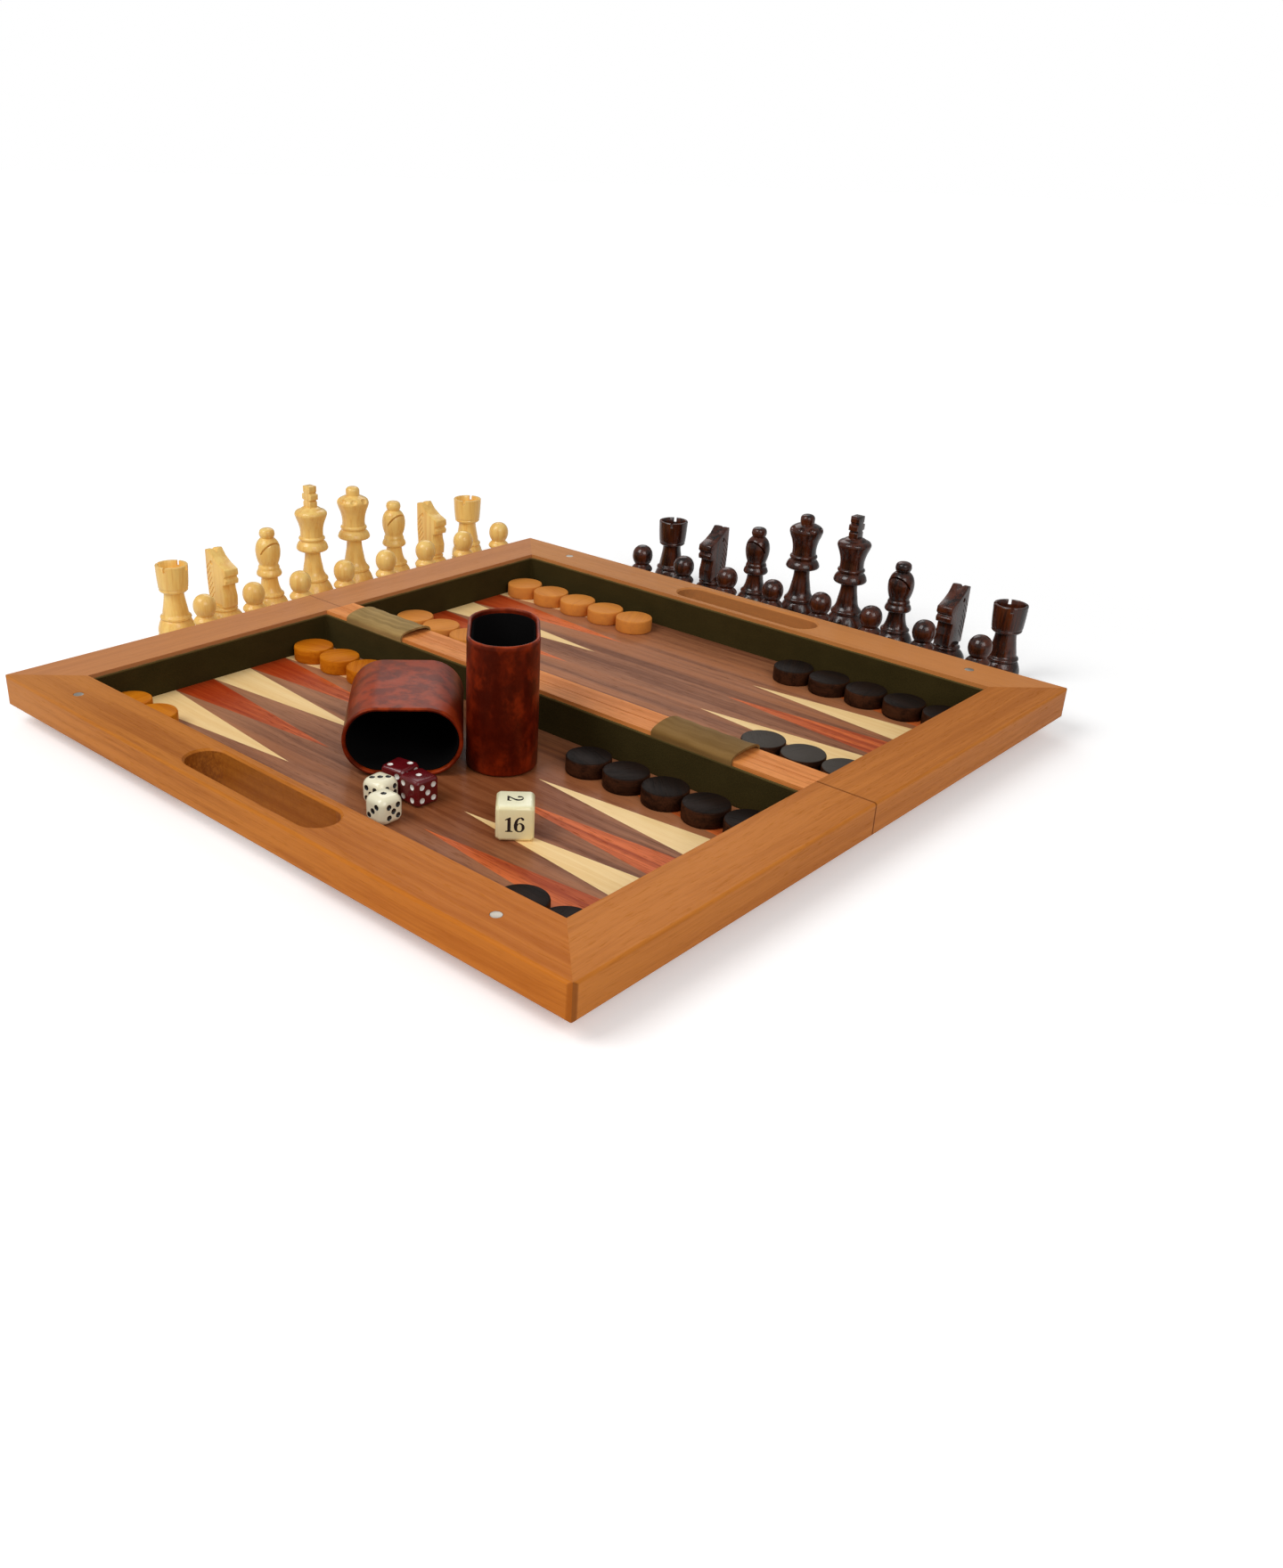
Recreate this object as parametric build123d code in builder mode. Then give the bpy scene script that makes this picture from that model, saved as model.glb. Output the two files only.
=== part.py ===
"""A folding games compendium: two shallow trays hinged together, open flat for backgammon.

Origin: the middle of the hinge line, on the table. +X runs along the hinge, -Y to the carrying
side of the near tray, +Z up. The chess squares are on the outside and face down at rest.
"""
import math
import os

from build123d import *

os.makedirs("parts", exist_ok=True)

# ---- driving dimensions, in millimetres ---------------------------------------------------
square = 38.1               # one chess square
box_side = 10 * square      # the open box is square in plan
rim_height = 25.4           # table to rim, one tray
skirt_height = 15.5         # height of the outer face of the frame
rail_width = 29.5           # rim of the frame, outside to inside
hinge_rail_width = 10.0     # the thin wall of each tray along the hinge
seam = 0.2                  # each tray stops this far from the hinge line
lift = 0.15                 # hinge axis above the rims, half the gap of the closed box
corner_radius = 3.0
arris = 1.3                 # soft outer edges of the frame

veneer = 0.6                # chess squares, floor veneer and points
core_thickness = 3.6
border_width = 17.9         # walnut border round the chess squares
bullnose = 2.4
board_play = 4 * square     # half of the eight squares

felt_thickness = 1.0
lip = 2.0                   # bare wood above the felt

point_pitch = 23.9
point_length = 114.0
points_per_wall = 6
far_point_start = hinge_rail_width + felt_thickness

slot_length = 96.0
slot_width = 19.0
slot_centre = 174.8         # from the hinge line to the middle of a handle slot
slot_arris = 1.0

magnet_radius = 2.5
magnet_depth = 3.0
magnet_x = 142.0
magnet_y = 177.0

hinge_places = (-119.0, 101.0)
hinge_length = 36.0
knuckle_radius = 2.0
pin_radius = 0.9
pin_clearance = 0.04
leaf_thickness = 1.0
leaf_reach = 8.4
knuckles = 5
knuckle_play = 0.15
knuckle_room = 0.35
knuckle_root = 0.5          # the web that joins a knuckle to its leaf starts this far from the axis
screw_spacing = 20.0
screw_y = 5.4
screw_length = 9.0
screw_radius = 1.0
screw_head_radius = 1.9

strap_width = 46.0
strap_thickness = 1.2
strap_arch = 2.6            # rise of the strap's underside over the rims

checker_radius = 11.0
checker_height = 8.0
checker_edge = 0.8
die_size = 12.7
die_edge = 1.0
cube_size = 16.5
cube_edge = 1.4

cup_length = 56.0           # the cup's oval section
cup_width = 34.0
cup_height = 64.0
cup_wall = 2.0
cup_lining = 1.0
cup_rim = 0.6               # softened edges of the cup's rim and base
cup_rest = 0.3              # gap between the floor and the standing cup's base
standing_turn = 134         # degrees from +X to the long side of each cup
lying_turn = 136

# ---- what follows from them ---------------------------------------------------------------
half = box_side / 2
inner = half - rail_width                       # inside wall of the frame
core_top = veneer + core_thickness
floor_top = core_top + veneer
skirt_bottom = rim_height - skirt_height
bevel_bottom = core_top + 1.0                   # frame's underside where it meets the border
board_half = board_play + border_width
axis_height = rim_height + lift
felt_top = rim_height - lip
trays = (("near", -1), ("far", 1))
tolerance = 0.01                                # for picking corners and edges by place


def save(name, built):
    """Label a finished piece and write it out."""
    built.part.label = name
    export_step(built.part, f"parts/{name}.step")


# ---- the frame ----------------------------------------------------------------------------
def rail_section(out):
    """Section of a frame rail: upright outer face, bevelled underside, rabbet for the board."""
    return [
        (out * half, skirt_bottom),
        (out * half, rim_height),
        (out * inner, rim_height),
        (out * inner, core_top),
        (out * board_half, core_top),
        (out * board_half, bevel_bottom),
    ]


def mitre(sx, side, reach):
    """The diagonal plane through an outer corner, looking into the strip along the long side."""
    return Plane(origin=(sx * reach, side * reach, 0), z_dir=(-sx, side, 0))


def outer_corners(section, out):
    """The two corners of a rail's section on its outer face."""
    at = out * half
    return section.vertices().filter_by_position(Axis.X, at - tolerance, at + tolerance)


with BuildPart() as box_outline:
    with BuildSketch(Plane.XY):
        RectangleRounded(box_side, box_side, corner_radius)
    extrude(amount=rim_height)


def handle_rail(side):
    """The long rail away from the hinge, with its carrying slot and two magnet pockets."""
    with BuildPart() as rail:
        with BuildSketch(Plane.YZ) as section:
            with BuildLine():
                Polyline(*rail_section(side), close=True)
            make_face()
            fillet(outer_corners(section, side), arris)
        extrude(amount=half, both=True)
        add(box_outline.part, mode=Mode.INTERSECT)
        for sx in (-1, 1):
            split(bisect_by=mitre(sx, side, half), keep=Keep.TOP)
        before = rail.edges()
        with BuildSketch(Plane.XY.offset(rim_height)):
            with Locations((0, side * slot_centre)):
                SlotOverall(slot_length, slot_width)
        extrude(amount=-rim_height, mode=Mode.SUBTRACT)
        mouth = rail.edges() - before
        mouth = mouth.filter_by_position(Axis.Z, rim_height - tolerance, rim_height + tolerance)
        slot_edge = slot_centre - slot_width / 2
        mouth = mouth.filter_by(lambda edge: abs(edge.center().Y) > slot_edge - tolerance)
        chamfer(mouth.filter_by(lambda edge: abs(edge.center().X) < slot_length / 2), slot_arris)
        with Locations(
            (-magnet_x, side * magnet_y, rim_height), (magnet_x, side * magnet_y, rim_height)
        ):
            Hole(magnet_radius, magnet_depth)
    return rail


def side_rail(sx, side):
    """A rail from an outer corner to the hinge line, mitred at one end and square at the other."""
    with BuildPart() as rail:
        with BuildSketch(Plane.XZ.offset(-side * seam)) as section:
            with BuildLine():
                Polyline(*rail_section(sx), close=True)
            make_face()
            fillet(outer_corners(section, sx), arris)
        extrude(amount=-side * (half - seam))
        add(box_outline.part, mode=Mode.INTERSECT)
        split(bisect_by=mitre(sx, side, half), keep=Keep.BOTTOM)
    return rail


# ---- the hinges ---------------------------------------------------------------------------
def hinge_screws(side):
    """Countersunk screws of one tray's two hinge leaves, two to a leaf."""
    with BuildPart() as screws:
        for x in hinge_places:
            for dx in (-screw_spacing / 2, screw_spacing / 2):
                axle = Plane(
                    origin=(x + dx, side * screw_y, 0), x_dir=(1, 0, 0), z_dir=(0, -1, 0)
                )
                with BuildSketch(axle):
                    with BuildLine():
                        Polyline(
                            (0, rim_height),
                            (screw_head_radius, rim_height),
                            (screw_radius, rim_height - leaf_thickness),
                            (screw_radius, rim_height - screw_length),
                            (0, rim_height - screw_length),
                            close=True,
                        )
                    make_face()
                revolve(axis=Axis((x + dx, side * screw_y, 0), (0, 0, 1)))
    return screws


def hinge_rail(side):
    """The thin rail along the hinge, let in for the leaves and hollowed for the knuckles."""
    with BuildPart() as rail:
        with BuildSketch(Plane.XY.offset(core_top)):
            with Locations((0, side * (hinge_rail_width + seam) / 2)):
                Rectangle(2 * inner, hinge_rail_width - seam)
        extrude(amount=rim_height - core_top)
        for x in hinge_places:
            with BuildSketch(Plane.XY.offset(rim_height)):
                with Locations((x, side * leaf_reach / 2)):
                    Rectangle(hinge_length, leaf_reach)
            extrude(amount=-leaf_thickness, mode=Mode.SUBTRACT)
            with BuildSketch(Plane.YZ.offset(x - hinge_length / 2)):
                with Locations((0, axis_height)):
                    Circle(knuckle_radius + knuckle_room)
            extrude(amount=hinge_length, mode=Mode.SUBTRACT)
        add(hinge_screws(side).part, mode=Mode.SUBTRACT)
    return rail


def hinge_leaves(side):
    """Brass leaves let into the rims, with every other knuckle of each hinge."""
    pitch = hinge_length / knuckles
    knuckle_reach = 1.5 * knuckle_radius
    first_own = 0 if side < 0 else 1
    with BuildPart() as leaves:
        for x in hinge_places:
            start = x - hinge_length / 2
            with BuildSketch(Plane.XY.offset(rim_height)):
                with Locations((x, side * leaf_reach / 2)):
                    Rectangle(hinge_length, leaf_reach)
            extrude(amount=-leaf_thickness)
            with BuildSketch(Plane.YZ.offset(start)):
                with Locations((0, axis_height)):
                    Circle(knuckle_radius + knuckle_room)
            extrude(amount=hinge_length, mode=Mode.SUBTRACT)
            for turn in range(first_own, knuckles, 2):
                with BuildSketch(Plane.YZ.offset(start + turn * pitch + knuckle_play / 2)):
                    with BuildLine():
                        Polyline(
                            (side * knuckle_reach, rim_height - leaf_thickness),
                            (side * knuckle_root, rim_height - leaf_thickness),
                            (side * knuckle_root, rim_height),
                            (side * knuckle_reach, rim_height),
                            close=True,
                        )
                    make_face()
                    with Locations((0, axis_height)):
                        Circle(knuckle_radius)
                        Circle(pin_radius + pin_clearance, mode=Mode.SUBTRACT)
                extrude(amount=pitch - knuckle_play)
        add(hinge_screws(side).part, mode=Mode.SUBTRACT)
    return leaves


def hinge_strap(x):
    """A suede strip over both hinge rails, hiding one hinge."""
    outer_y = hinge_rail_width + strap_thickness
    crown = rim_height + strap_arch
    with BuildPart() as strap:
        with BuildSketch(Plane.YZ.offset(x - strap_width / 2)):
            with BuildLine():
                Polyline(
                    (-outer_y, rim_height),
                    (-outer_y, felt_top),
                    (-hinge_rail_width, felt_top),
                    (-hinge_rail_width, rim_height),
                )
                ThreePointArc(
                    (-hinge_rail_width, rim_height), (0, crown), (hinge_rail_width, rim_height)
                )
                Polyline(
                    (hinge_rail_width, rim_height),
                    (hinge_rail_width, felt_top),
                    (outer_y, felt_top),
                    (outer_y, rim_height),
                )
                ThreePointArc(
                    (outer_y, rim_height), (0, crown + strap_thickness), (-outer_y, rim_height)
                )
            make_face()
        extrude(amount=strap_width)
    return strap


# ---- the board: chess squares outside, backgammon points inside -----------------------------
def board_core(side):
    with BuildPart() as core:
        with BuildSketch(Plane.XY.offset(veneer)):
            with Locations((0, side * (board_play + seam) / 2)):
                Rectangle(2 * board_play, board_play - seam)
        extrude(amount=core_thickness)
    return core


def border_section(out):
    """Section of the walnut border, before its outer lower edge is rounded."""
    return [
        (out * board_play, 0),
        (out * board_half, 0),
        (out * board_half, core_top),
        (out * board_play, core_top),
    ]


def bullnose_corner(section, out):
    """The outer lower corner of a border strip's section."""
    at = out * board_half
    outer = section.vertices().filter_by_position(Axis.X, at - tolerance, at + tolerance)
    return outer.sort_by(Axis.Y)[0]


def border_side(sx, side):
    with BuildPart() as strip:
        with BuildSketch(Plane.XZ.offset(-side * seam)) as section:
            with BuildLine():
                Polyline(*border_section(sx), close=True)
            make_face()
            fillet(bullnose_corner(section, sx), bullnose)
        extrude(amount=-side * (board_half - seam))
        split(bisect_by=mitre(sx, side, board_half), keep=Keep.BOTTOM)
    return strip


def border_front(side):
    """The strip along the handle side, notched where the carrying slot runs past it."""
    with BuildPart() as strip:
        with BuildSketch(Plane.YZ) as section:
            with BuildLine():
                Polyline(*border_section(side), close=True)
            make_face()
            fillet(bullnose_corner(section, side), bullnose)
        extrude(amount=board_half, both=True)
        for sx in (-1, 1):
            split(bisect_by=mitre(sx, side, board_half), keep=Keep.TOP)
        with BuildSketch(Plane.XY):
            with Locations((0, side * slot_centre)):
                SlotOverall(slot_length, slot_width)
        extrude(amount=core_top, mode=Mode.SUBTRACT)
    return strip


def chess_squares(side, light):
    """The thin wood squares of one colour on one half, laid on the core and facing down."""
    with BuildPart() as squares:
        for column in range(8):
            for rank in range(4):
                from_edge = rank if side < 0 else 7 - rank
                if ((column + from_edge) % 2 == 1) != light:
                    continue
                hinge_edge = (3 - rank) * square if rank < 3 else seam
                outer_edge = (4 - rank) * square
                x = board_play - (column + 0.5) * square
                with BuildSketch(Plane.XY):
                    with Locations((x, side * (hinge_edge + outer_edge) / 2)):
                        Rectangle(square, outer_edge - hinge_edge)
                extrude(amount=veneer)
    return squares


def point_outline(sx, side, index):
    """One backgammon point: a long triangle with its base at the tray's end wall."""
    if side < 0:
        base = -inner + index * point_pitch
    else:
        base = far_point_start + (points_per_wall - 1 - index) * point_pitch
    return [
        (sx * inner, base),
        (sx * (inner - point_length), base + point_pitch / 2),
        (sx * inner, base + point_pitch),
    ]


def is_cream(sx, side, index):
    """Colours alternate along a wall and from wall to wall."""
    from_hinge = points_per_wall - 1 - index
    return (from_hinge % 2 == 0) == (sx == side)


def points(side, cream):
    with BuildPart() as inlay:
        for sx in (-1, 1):
            for index in range(points_per_wall):
                if is_cream(sx, side, index) == cream:
                    with BuildSketch(Plane.XY.offset(core_top)):
                        with BuildLine():
                            Polyline(*point_outline(sx, side, index), close=True)
                        make_face()
                    extrude(amount=veneer)
    return inlay


def floor_veneer(side):
    """Walnut ground of the backgammon field, cut out for the points."""
    with BuildPart() as ground:
        with BuildSketch(Plane.XY.offset(core_top)):
            with Locations((0, side * (inner + hinge_rail_width) / 2)):
                Rectangle(2 * inner, inner - hinge_rail_width)
            for sx in (-1, 1):
                for index in range(points_per_wall):
                    with BuildLine():
                        Polyline(*point_outline(sx, side, index), close=True)
                    make_face(mode=Mode.SUBTRACT)
        extrude(amount=veneer)
    return ground


def felt_lining(side):
    wide = 2 * inner
    deep = inner - hinge_rail_width
    with BuildPart() as felt:
        with BuildSketch(Plane.XY.offset(floor_top)):
            with Locations((0, side * (inner + hinge_rail_width) / 2)):
                Rectangle(wide, deep)
                Rectangle(wide - 2 * felt_thickness, deep - 2 * felt_thickness, mode=Mode.SUBTRACT)
        extrude(amount=felt_top - floor_top)
    return felt


def magnets(side):
    with BuildPart() as discs:
        with BuildSketch(Plane.XY.offset(rim_height - magnet_depth)):
            with Locations((-magnet_x, side * magnet_y), (magnet_x, side * magnet_y)):
                Circle(magnet_radius)
        extrude(amount=magnet_depth)
    return discs


for tray, side in trays:
    save(f"{tray}_handle_rail", handle_rail(side))
    save(f"{tray}_left_rail", side_rail(-1, side))
    save(f"{tray}_right_rail", side_rail(1, side))
    save(f"{tray}_hinge_rail", hinge_rail(side))
    save(f"{tray}_board_core", board_core(side))
    with BuildPart() as board_border:
        add(border_front(side).part)
        add(border_side(-1, side).part)
        add(border_side(1, side).part)
    save(f"{tray}_board_border", board_border)
    save(f"{tray}_light_squares", chess_squares(side, True))
    save(f"{tray}_dark_squares", chess_squares(side, False))
    save(f"{tray}_floor_veneer", floor_veneer(side))
    save(f"{tray}_cream_points", points(side, True))
    save(f"{tray}_red_points", points(side, False))
    save(f"{tray}_felt_lining", felt_lining(side))
    save(f"{tray}_magnets", magnets(side))
    save(f"{tray}_hinge_leaves", hinge_leaves(side))
    save(f"{tray}_hinge_screws", hinge_screws(side))

with BuildPart() as hinge_pins:
    for x in hinge_places:
        with BuildSketch(Plane.YZ.offset(x - hinge_length / 2)):
            with Locations((0, axis_height)):
                Circle(pin_radius)
        extrude(amount=hinge_length)
save("hinge_pins", hinge_pins)
save("left_hinge_strap", hinge_strap(hinge_places[0]))
save("right_hinge_strap", hinge_strap(hinge_places[1]))


# ---- checkers, dice and cups ----------------------------------------------------------------
def row(start, step, count):
    """Places of pieces set out in a straight row."""
    return [(start[0] + i * step[0], start[1] + i * step[1]) for i in range(count)]


def checkers(places):
    with BuildPart() as discs:
        for x, y in places:
            with BuildSketch(Plane.XY.offset(floor_top)):
                with Locations((x, y)):
                    Circle(checker_radius)
            extrude(amount=checker_height)
        rims = discs.edges().filter_by(GeomType.CIRCLE)
        chamfer(rims, checker_edge)
    return discs


touching = 2 * checker_radius + 0.8             # neighbours in a row all but touch
first_x = inner - felt_thickness - checker_radius - 0.5
bar_row = 30.0              # rows of checkers, from the hinge line
second_row = 46.5
wall_row = 142.0
corner_row = 146.5

save("near_natural_checkers", checkers(
    row((-first_x, -bar_row), (touching, 0), 5) + row((-first_x, -corner_row), (touching, 0), 2)))
save("near_dark_checkers", checkers(
    row((first_x, -bar_row), (-touching, 0), 5) + row((first_x, -corner_row), (-touching, 0), 2)))
save("far_natural_checkers", checkers(
    row((-first_x, second_row), (touching, 0), 3) + row((-first_x, wall_row), (touching, 0), 5)))
save("far_dark_checkers", checkers(
    row((first_x, second_row), (-touching, 0), 3) + row((first_x, wall_row), (-touching, 0), 5)))


def dice(places, size, edge):
    """Cubes with softened edges, each turned to its own angle."""
    with BuildPart() as cubes:
        for x, y, turn in places:
            with Locations(Location((x, y, floor_top + size / 2), (0, 0, turn))):
                Box(size, size, size)
        chamfer(cubes.edges(), edge)
    return cubes


save("ivory_dice", dice(((29.0, -131.8, 0.0), (15.4, -122.0, 6.0)), die_size, die_edge))
save("red_dice", dice(((25.6, -108.4, -4.0), (11.2, -106.6, 10.0)), die_size, die_edge))
save("doubling_cube", dice(((76.9, -99.9, 43.0),), cube_size, cube_edge))


def cup_shell(plane):
    """Leather-covered wall and base, with softened edges at the rim and the base."""
    with BuildPart() as shell:
        with BuildSketch(plane):
            SlotOverall(cup_length, cup_width)
        extrude(amount=cup_height)
        ends = shell.faces().filter_by(plane)
        chamfer(ends.edges(), cup_rim)
        with BuildSketch(plane.offset(cup_wall)):
            SlotOverall(cup_length - 2 * cup_wall, cup_width - 2 * cup_wall)
        extrude(amount=cup_height, mode=Mode.SUBTRACT)
    return shell


def cup_liner(plane):
    """Felt lining of a cup, down its wall and over its base, stopping short of the rim."""
    thick = cup_wall + cup_lining
    with BuildPart() as liner:
        with BuildSketch(plane.offset(cup_wall)):
            SlotOverall(cup_length - 2 * cup_wall, cup_width - 2 * cup_wall)
        extrude(amount=cup_height - 2 * cup_wall)
        with BuildSketch(plane.offset(thick)):
            SlotOverall(cup_length - 2 * thick, cup_width - 2 * thick)
        extrude(amount=cup_height, mode=Mode.SUBTRACT)
    return liner


standing_angle = math.radians(standing_turn)
standing = Plane(
    origin=(15.5, -45.5, floor_top + cup_rest),
    x_dir=(math.cos(standing_angle), math.sin(standing_angle), 0),
    z_dir=(0, 0, 1),
)
lying_angle = math.radians(lying_turn)
lying_back = Vector(math.cos(lying_angle), math.sin(lying_angle), 0)
lying_mouth = Vector(2, -97, floor_top + cup_width / 2)
lying = Plane(
    origin=lying_mouth + lying_back * cup_height,
    x_dir=(-lying_back.Y, lying_back.X, 0),
    z_dir=-lying_back,
)
save("standing_cup_shell", cup_shell(standing))
save("standing_cup_lining", cup_liner(standing))
save("lying_cup_shell", cup_shell(lying))
save("lying_cup_lining", cup_liner(lying))


# ---- the chessmen, standing on the table behind the open box ---------------------------------
def turned(places, profile):
    """
    Turned pieces, spun about each place. A step of the profile is the (radius, height) that a
    straight stretch ends at, or a point on an arc followed by the arc's end.
    """
    with BuildPart() as men:
        for x, y in places:
            with BuildSketch(Plane((x, y, 0), x_dir=(1, 0, 0), z_dir=(0, -1, 0))):
                with BuildLine():
                    reached = (0, 0)
                    for step in profile:
                        if len(step) == 4:
                            ThreePointArc(reached, step[:2], step[2:])
                        else:
                            Line(reached, step)
                        reached = step[-2:]
                    Polyline(reached, (0, reached[1]), (0, 0))
                make_face()
            revolve(axis=Axis((x, y, 0), (0, 0, 1)))
    return men


band_height = 3.4


def foot(radius, ring, height):
    """The band and the swelling that every man stands on, up to the ring at its neck."""
    swelling = (0.55 * radius + 0.45 * ring + 0.7, 0.5 * (band_height + height) + 0.7)
    return [(radius, 0), (radius, band_height), swelling, (ring, height)]


pawn_ball = 6.5
pawn_height = 34.5
pawn_profile = foot(9.5, 7.0, 9.2) + [(3.4, 15.8), (6.9, 18.6), (4.3, 23.3)]

rook_height = 45.3
rook_profile = foot(10.9, 8.8, 12.6) + [
    (6.9, 19.6, 5.9, 28.6), (8.4, 30.4), (8.4, 31.8), (9.4, rook_height),
]
rook_bore = 7.7
rook_bore_depth = 4.4
rook_slot = 1.7
rook_slot_depth = 3.2
rook_slot_turns = (30, 120)

bishop_profile = foot(11.1, 8.4, 12.2) + [
    (6.2, 17.4, 4.9, 24.2), (7.8, 26.0), (6.1, 32.0), (7.6, 38.0), (7.2, 43.6), (3.9, 48.5),
    (4.8, 51.2), (2.2, 54.5),
]
slit_width = 1.0
slit_depth = 4.6            # half the depth of the saw cut, whose middle is this far off the axis
slit_height = 43.2
slit_angle = math.radians(58)

queen_profile = foot(12.0, 9.2, 14.8) + [
    (6.4, 22.6, 4.8, 35.4), (10.2, 37.2), (7.6, 43.6), (7.5, 49.4), (10.2, 59.2), (8.8, 61.6),
    (4.3, 63.7), (4.7, 66.4), (2.2, 69.3),
]

king_profile = foot(12.5, 9.0, 15.0) + [
    (6.3, 22.8, 4.9, 33.6), (9.9, 35.8), (7.4, 42.4), (7.5, 48.6), (10.1, 57.6), (8.6, 60.0),
    (5.6, 61.8),
]
cross_thickness = 5.8
cross_outline = [
    (3.4, 61.4), (3.4, 65.4), (2.6, 65.4), (2.6, 66.4), (4.4, 66.4), (4.4, 70.2), (2.6, 70.2),
    (2.6, 71.2), (3.2, 71.2), (3.2, 75.0),
]

knight_profile = foot(11.0, 7.4, 11.6) + [(7.2, 14.0)]
head_thickness = 9.6
head_outline = [
    (7.4, 13.6), (7.8, 20.0), (6.3, 24.6), (6.3, 27.2), (9.4, 28.2), (9.9, 30.8), (8.3, 32.2),
    (10.1, 33.8), (9.7, 37.2), (3.5, 39.8), (-1.6, 43.0), (-5.4, 47.6), (-9.4, 46.8), (-9.4, 30.0),
    (-8.2, 13.6),
]
ear_height = 47.6
ear_notch = 3.4             # side of the square bar whose corner cuts the notch between the ears


def pawns(places):
    """A neck and collar under a ball."""
    with BuildPart() as men:
        add(turned(places, pawn_profile).part)
        with Locations([(x, y, pawn_height - pawn_ball) for x, y in places]):
            Sphere(pawn_ball)
    return men


def rooks(places):
    """A tower, bored from above, with two slots sawn across its rim."""
    with BuildPart() as men:
        add(turned(places, rook_profile).part)
        with Locations([(x, y, rook_height) for x, y in places]):
            Hole(rook_bore, rook_bore_depth)
        for x, y in places:
            for turn in rook_slot_turns:
                with Locations(Location((x, y, rook_height), (0, 0, turn))):
                    Box(3 * rook_bore, rook_slot, 2 * rook_slot_depth, mode=Mode.SUBTRACT)
    return men


def queens(places):
    return turned(places, queen_profile)


def kings(places):
    """A turned crown with a sawn stepped cross let into it."""
    mirrored = [(-x, z) for x, z in reversed(cross_outline)]
    with BuildPart() as men:
        add(turned(places, king_profile).part)
        for x, y in places:
            with BuildSketch(Plane((x, y, 0), x_dir=(1, 0, 0), z_dir=(0, -1, 0))):
                with BuildLine():
                    Polyline(*cross_outline, *mirrored, close=True)
                make_face()
            extrude(amount=cross_thickness / 2, both=True)
    return men


def bishops(places, facing):
    """A turned mitre with one slanting saw cut, in the side toward the board."""
    across = (-facing[1], facing[0], 0)
    lean = math.sin(slit_angle)
    upright = (-facing[0] * lean, -facing[1] * lean, math.cos(slit_angle))
    with BuildPart() as men:
        add(turned(places, bishop_profile).part)
        for x, y in places:
            cut_at = (x + facing[0] * slit_depth, y + facing[1] * slit_depth, slit_height)
            with BuildSketch(Plane(cut_at, x_dir=across, z_dir=upright)):
                Rectangle(4 * slit_depth, 2 * slit_depth)
            extrude(amount=slit_width / 2, both=True, mode=Mode.SUBTRACT)
    return men


def knights(places, facing):
    """A turned foot with a flat sawn head, notched between the ears."""
    across = (-facing[1], facing[0], 0)
    with BuildPart() as men:
        add(turned(places, knight_profile).part)
        for x, y in places:
            with BuildSketch(Plane((x, y, 0), x_dir=facing, z_dir=(facing[1], -facing[0], 0))):
                with BuildLine():
                    Polyline(*head_outline, close=True)
                make_face()
            extrude(amount=head_thickness / 2, both=True)
            with BuildSketch(Plane((x, y, 0), x_dir=across, z_dir=facing)):
                with Locations((0, ear_height)):
                    Rectangle(ear_notch, ear_notch, rotation=45)
            extrude(amount=ear_height, both=True, mode=Mode.SUBTRACT)
    return men


rank_pitch = 34.0
pawn_row = half + 18.0
back_row = pawn_row + 31.0
natural_first = 178.0        # y of the natural men's last file, along the left side of the box
dark_first = -106.0          # x of the dark men's first file, behind the far tray
turned_men = (("pawns", pawns, range(8), pawn_row), ("rooks", rooks, (0, 7), back_row),
              ("queen", queens, (3,), back_row), ("king", kings, (4,), back_row))
facing_men = (("bishops", bishops, (2, 5)), ("knights", knights, (1, 6)))
colours = (
    ("natural", lambda file, out: (-out, natural_first - file * rank_pitch), (1, 0, 0)),
    ("dark", lambda file, out: (dark_first + file * rank_pitch, out), (0, -1, 0)),
)
for colour, place, facing in colours:
    for kind, make, files, out in turned_men:
        save(f"{colour}_{kind}", make([place(file, out) for file in files]))
    for kind, make, files in facing_men:
        save(f"{colour}_{kind}", make([place(file, back_row) for file in files], facing))
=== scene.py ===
import math

import bmesh
import bpy
from mathutils import Matrix, Vector


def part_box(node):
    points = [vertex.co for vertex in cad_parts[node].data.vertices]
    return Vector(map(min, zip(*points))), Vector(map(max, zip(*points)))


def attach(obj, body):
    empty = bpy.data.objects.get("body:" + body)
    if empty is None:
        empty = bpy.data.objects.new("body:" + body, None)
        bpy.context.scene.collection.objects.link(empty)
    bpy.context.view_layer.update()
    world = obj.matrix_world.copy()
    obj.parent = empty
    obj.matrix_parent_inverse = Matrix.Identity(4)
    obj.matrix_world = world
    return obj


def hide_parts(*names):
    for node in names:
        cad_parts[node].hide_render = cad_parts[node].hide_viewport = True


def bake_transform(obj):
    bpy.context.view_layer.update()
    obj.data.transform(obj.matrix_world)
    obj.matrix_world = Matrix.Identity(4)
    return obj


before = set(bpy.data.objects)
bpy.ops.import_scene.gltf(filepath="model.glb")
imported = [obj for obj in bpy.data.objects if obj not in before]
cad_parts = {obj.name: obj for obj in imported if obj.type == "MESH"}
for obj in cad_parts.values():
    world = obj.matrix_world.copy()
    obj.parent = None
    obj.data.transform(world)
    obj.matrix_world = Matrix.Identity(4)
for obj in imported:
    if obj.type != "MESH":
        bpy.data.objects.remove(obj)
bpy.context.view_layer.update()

scene = bpy.context.scene
mm = 0.001

# ---- The viewpoint and the room ----------------------------------------------------------------------
# The open box is seen over one corner, from a little above, with an ordinary lens.
# It stands on a white table that runs into a white background, under large soft lamps.
square = 38.1 * mm
rim_height = 25.4 * mm
azimuth = math.radians(42.667)
elevation = math.radians(25.771)
roll = math.radians(1.578)
eye = Vector((-0.124, -1.362, 17.794)) * square
photo_width = 1440
photo_height = 1760
focal_length = 1506.6
optical_centre = 600

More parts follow.
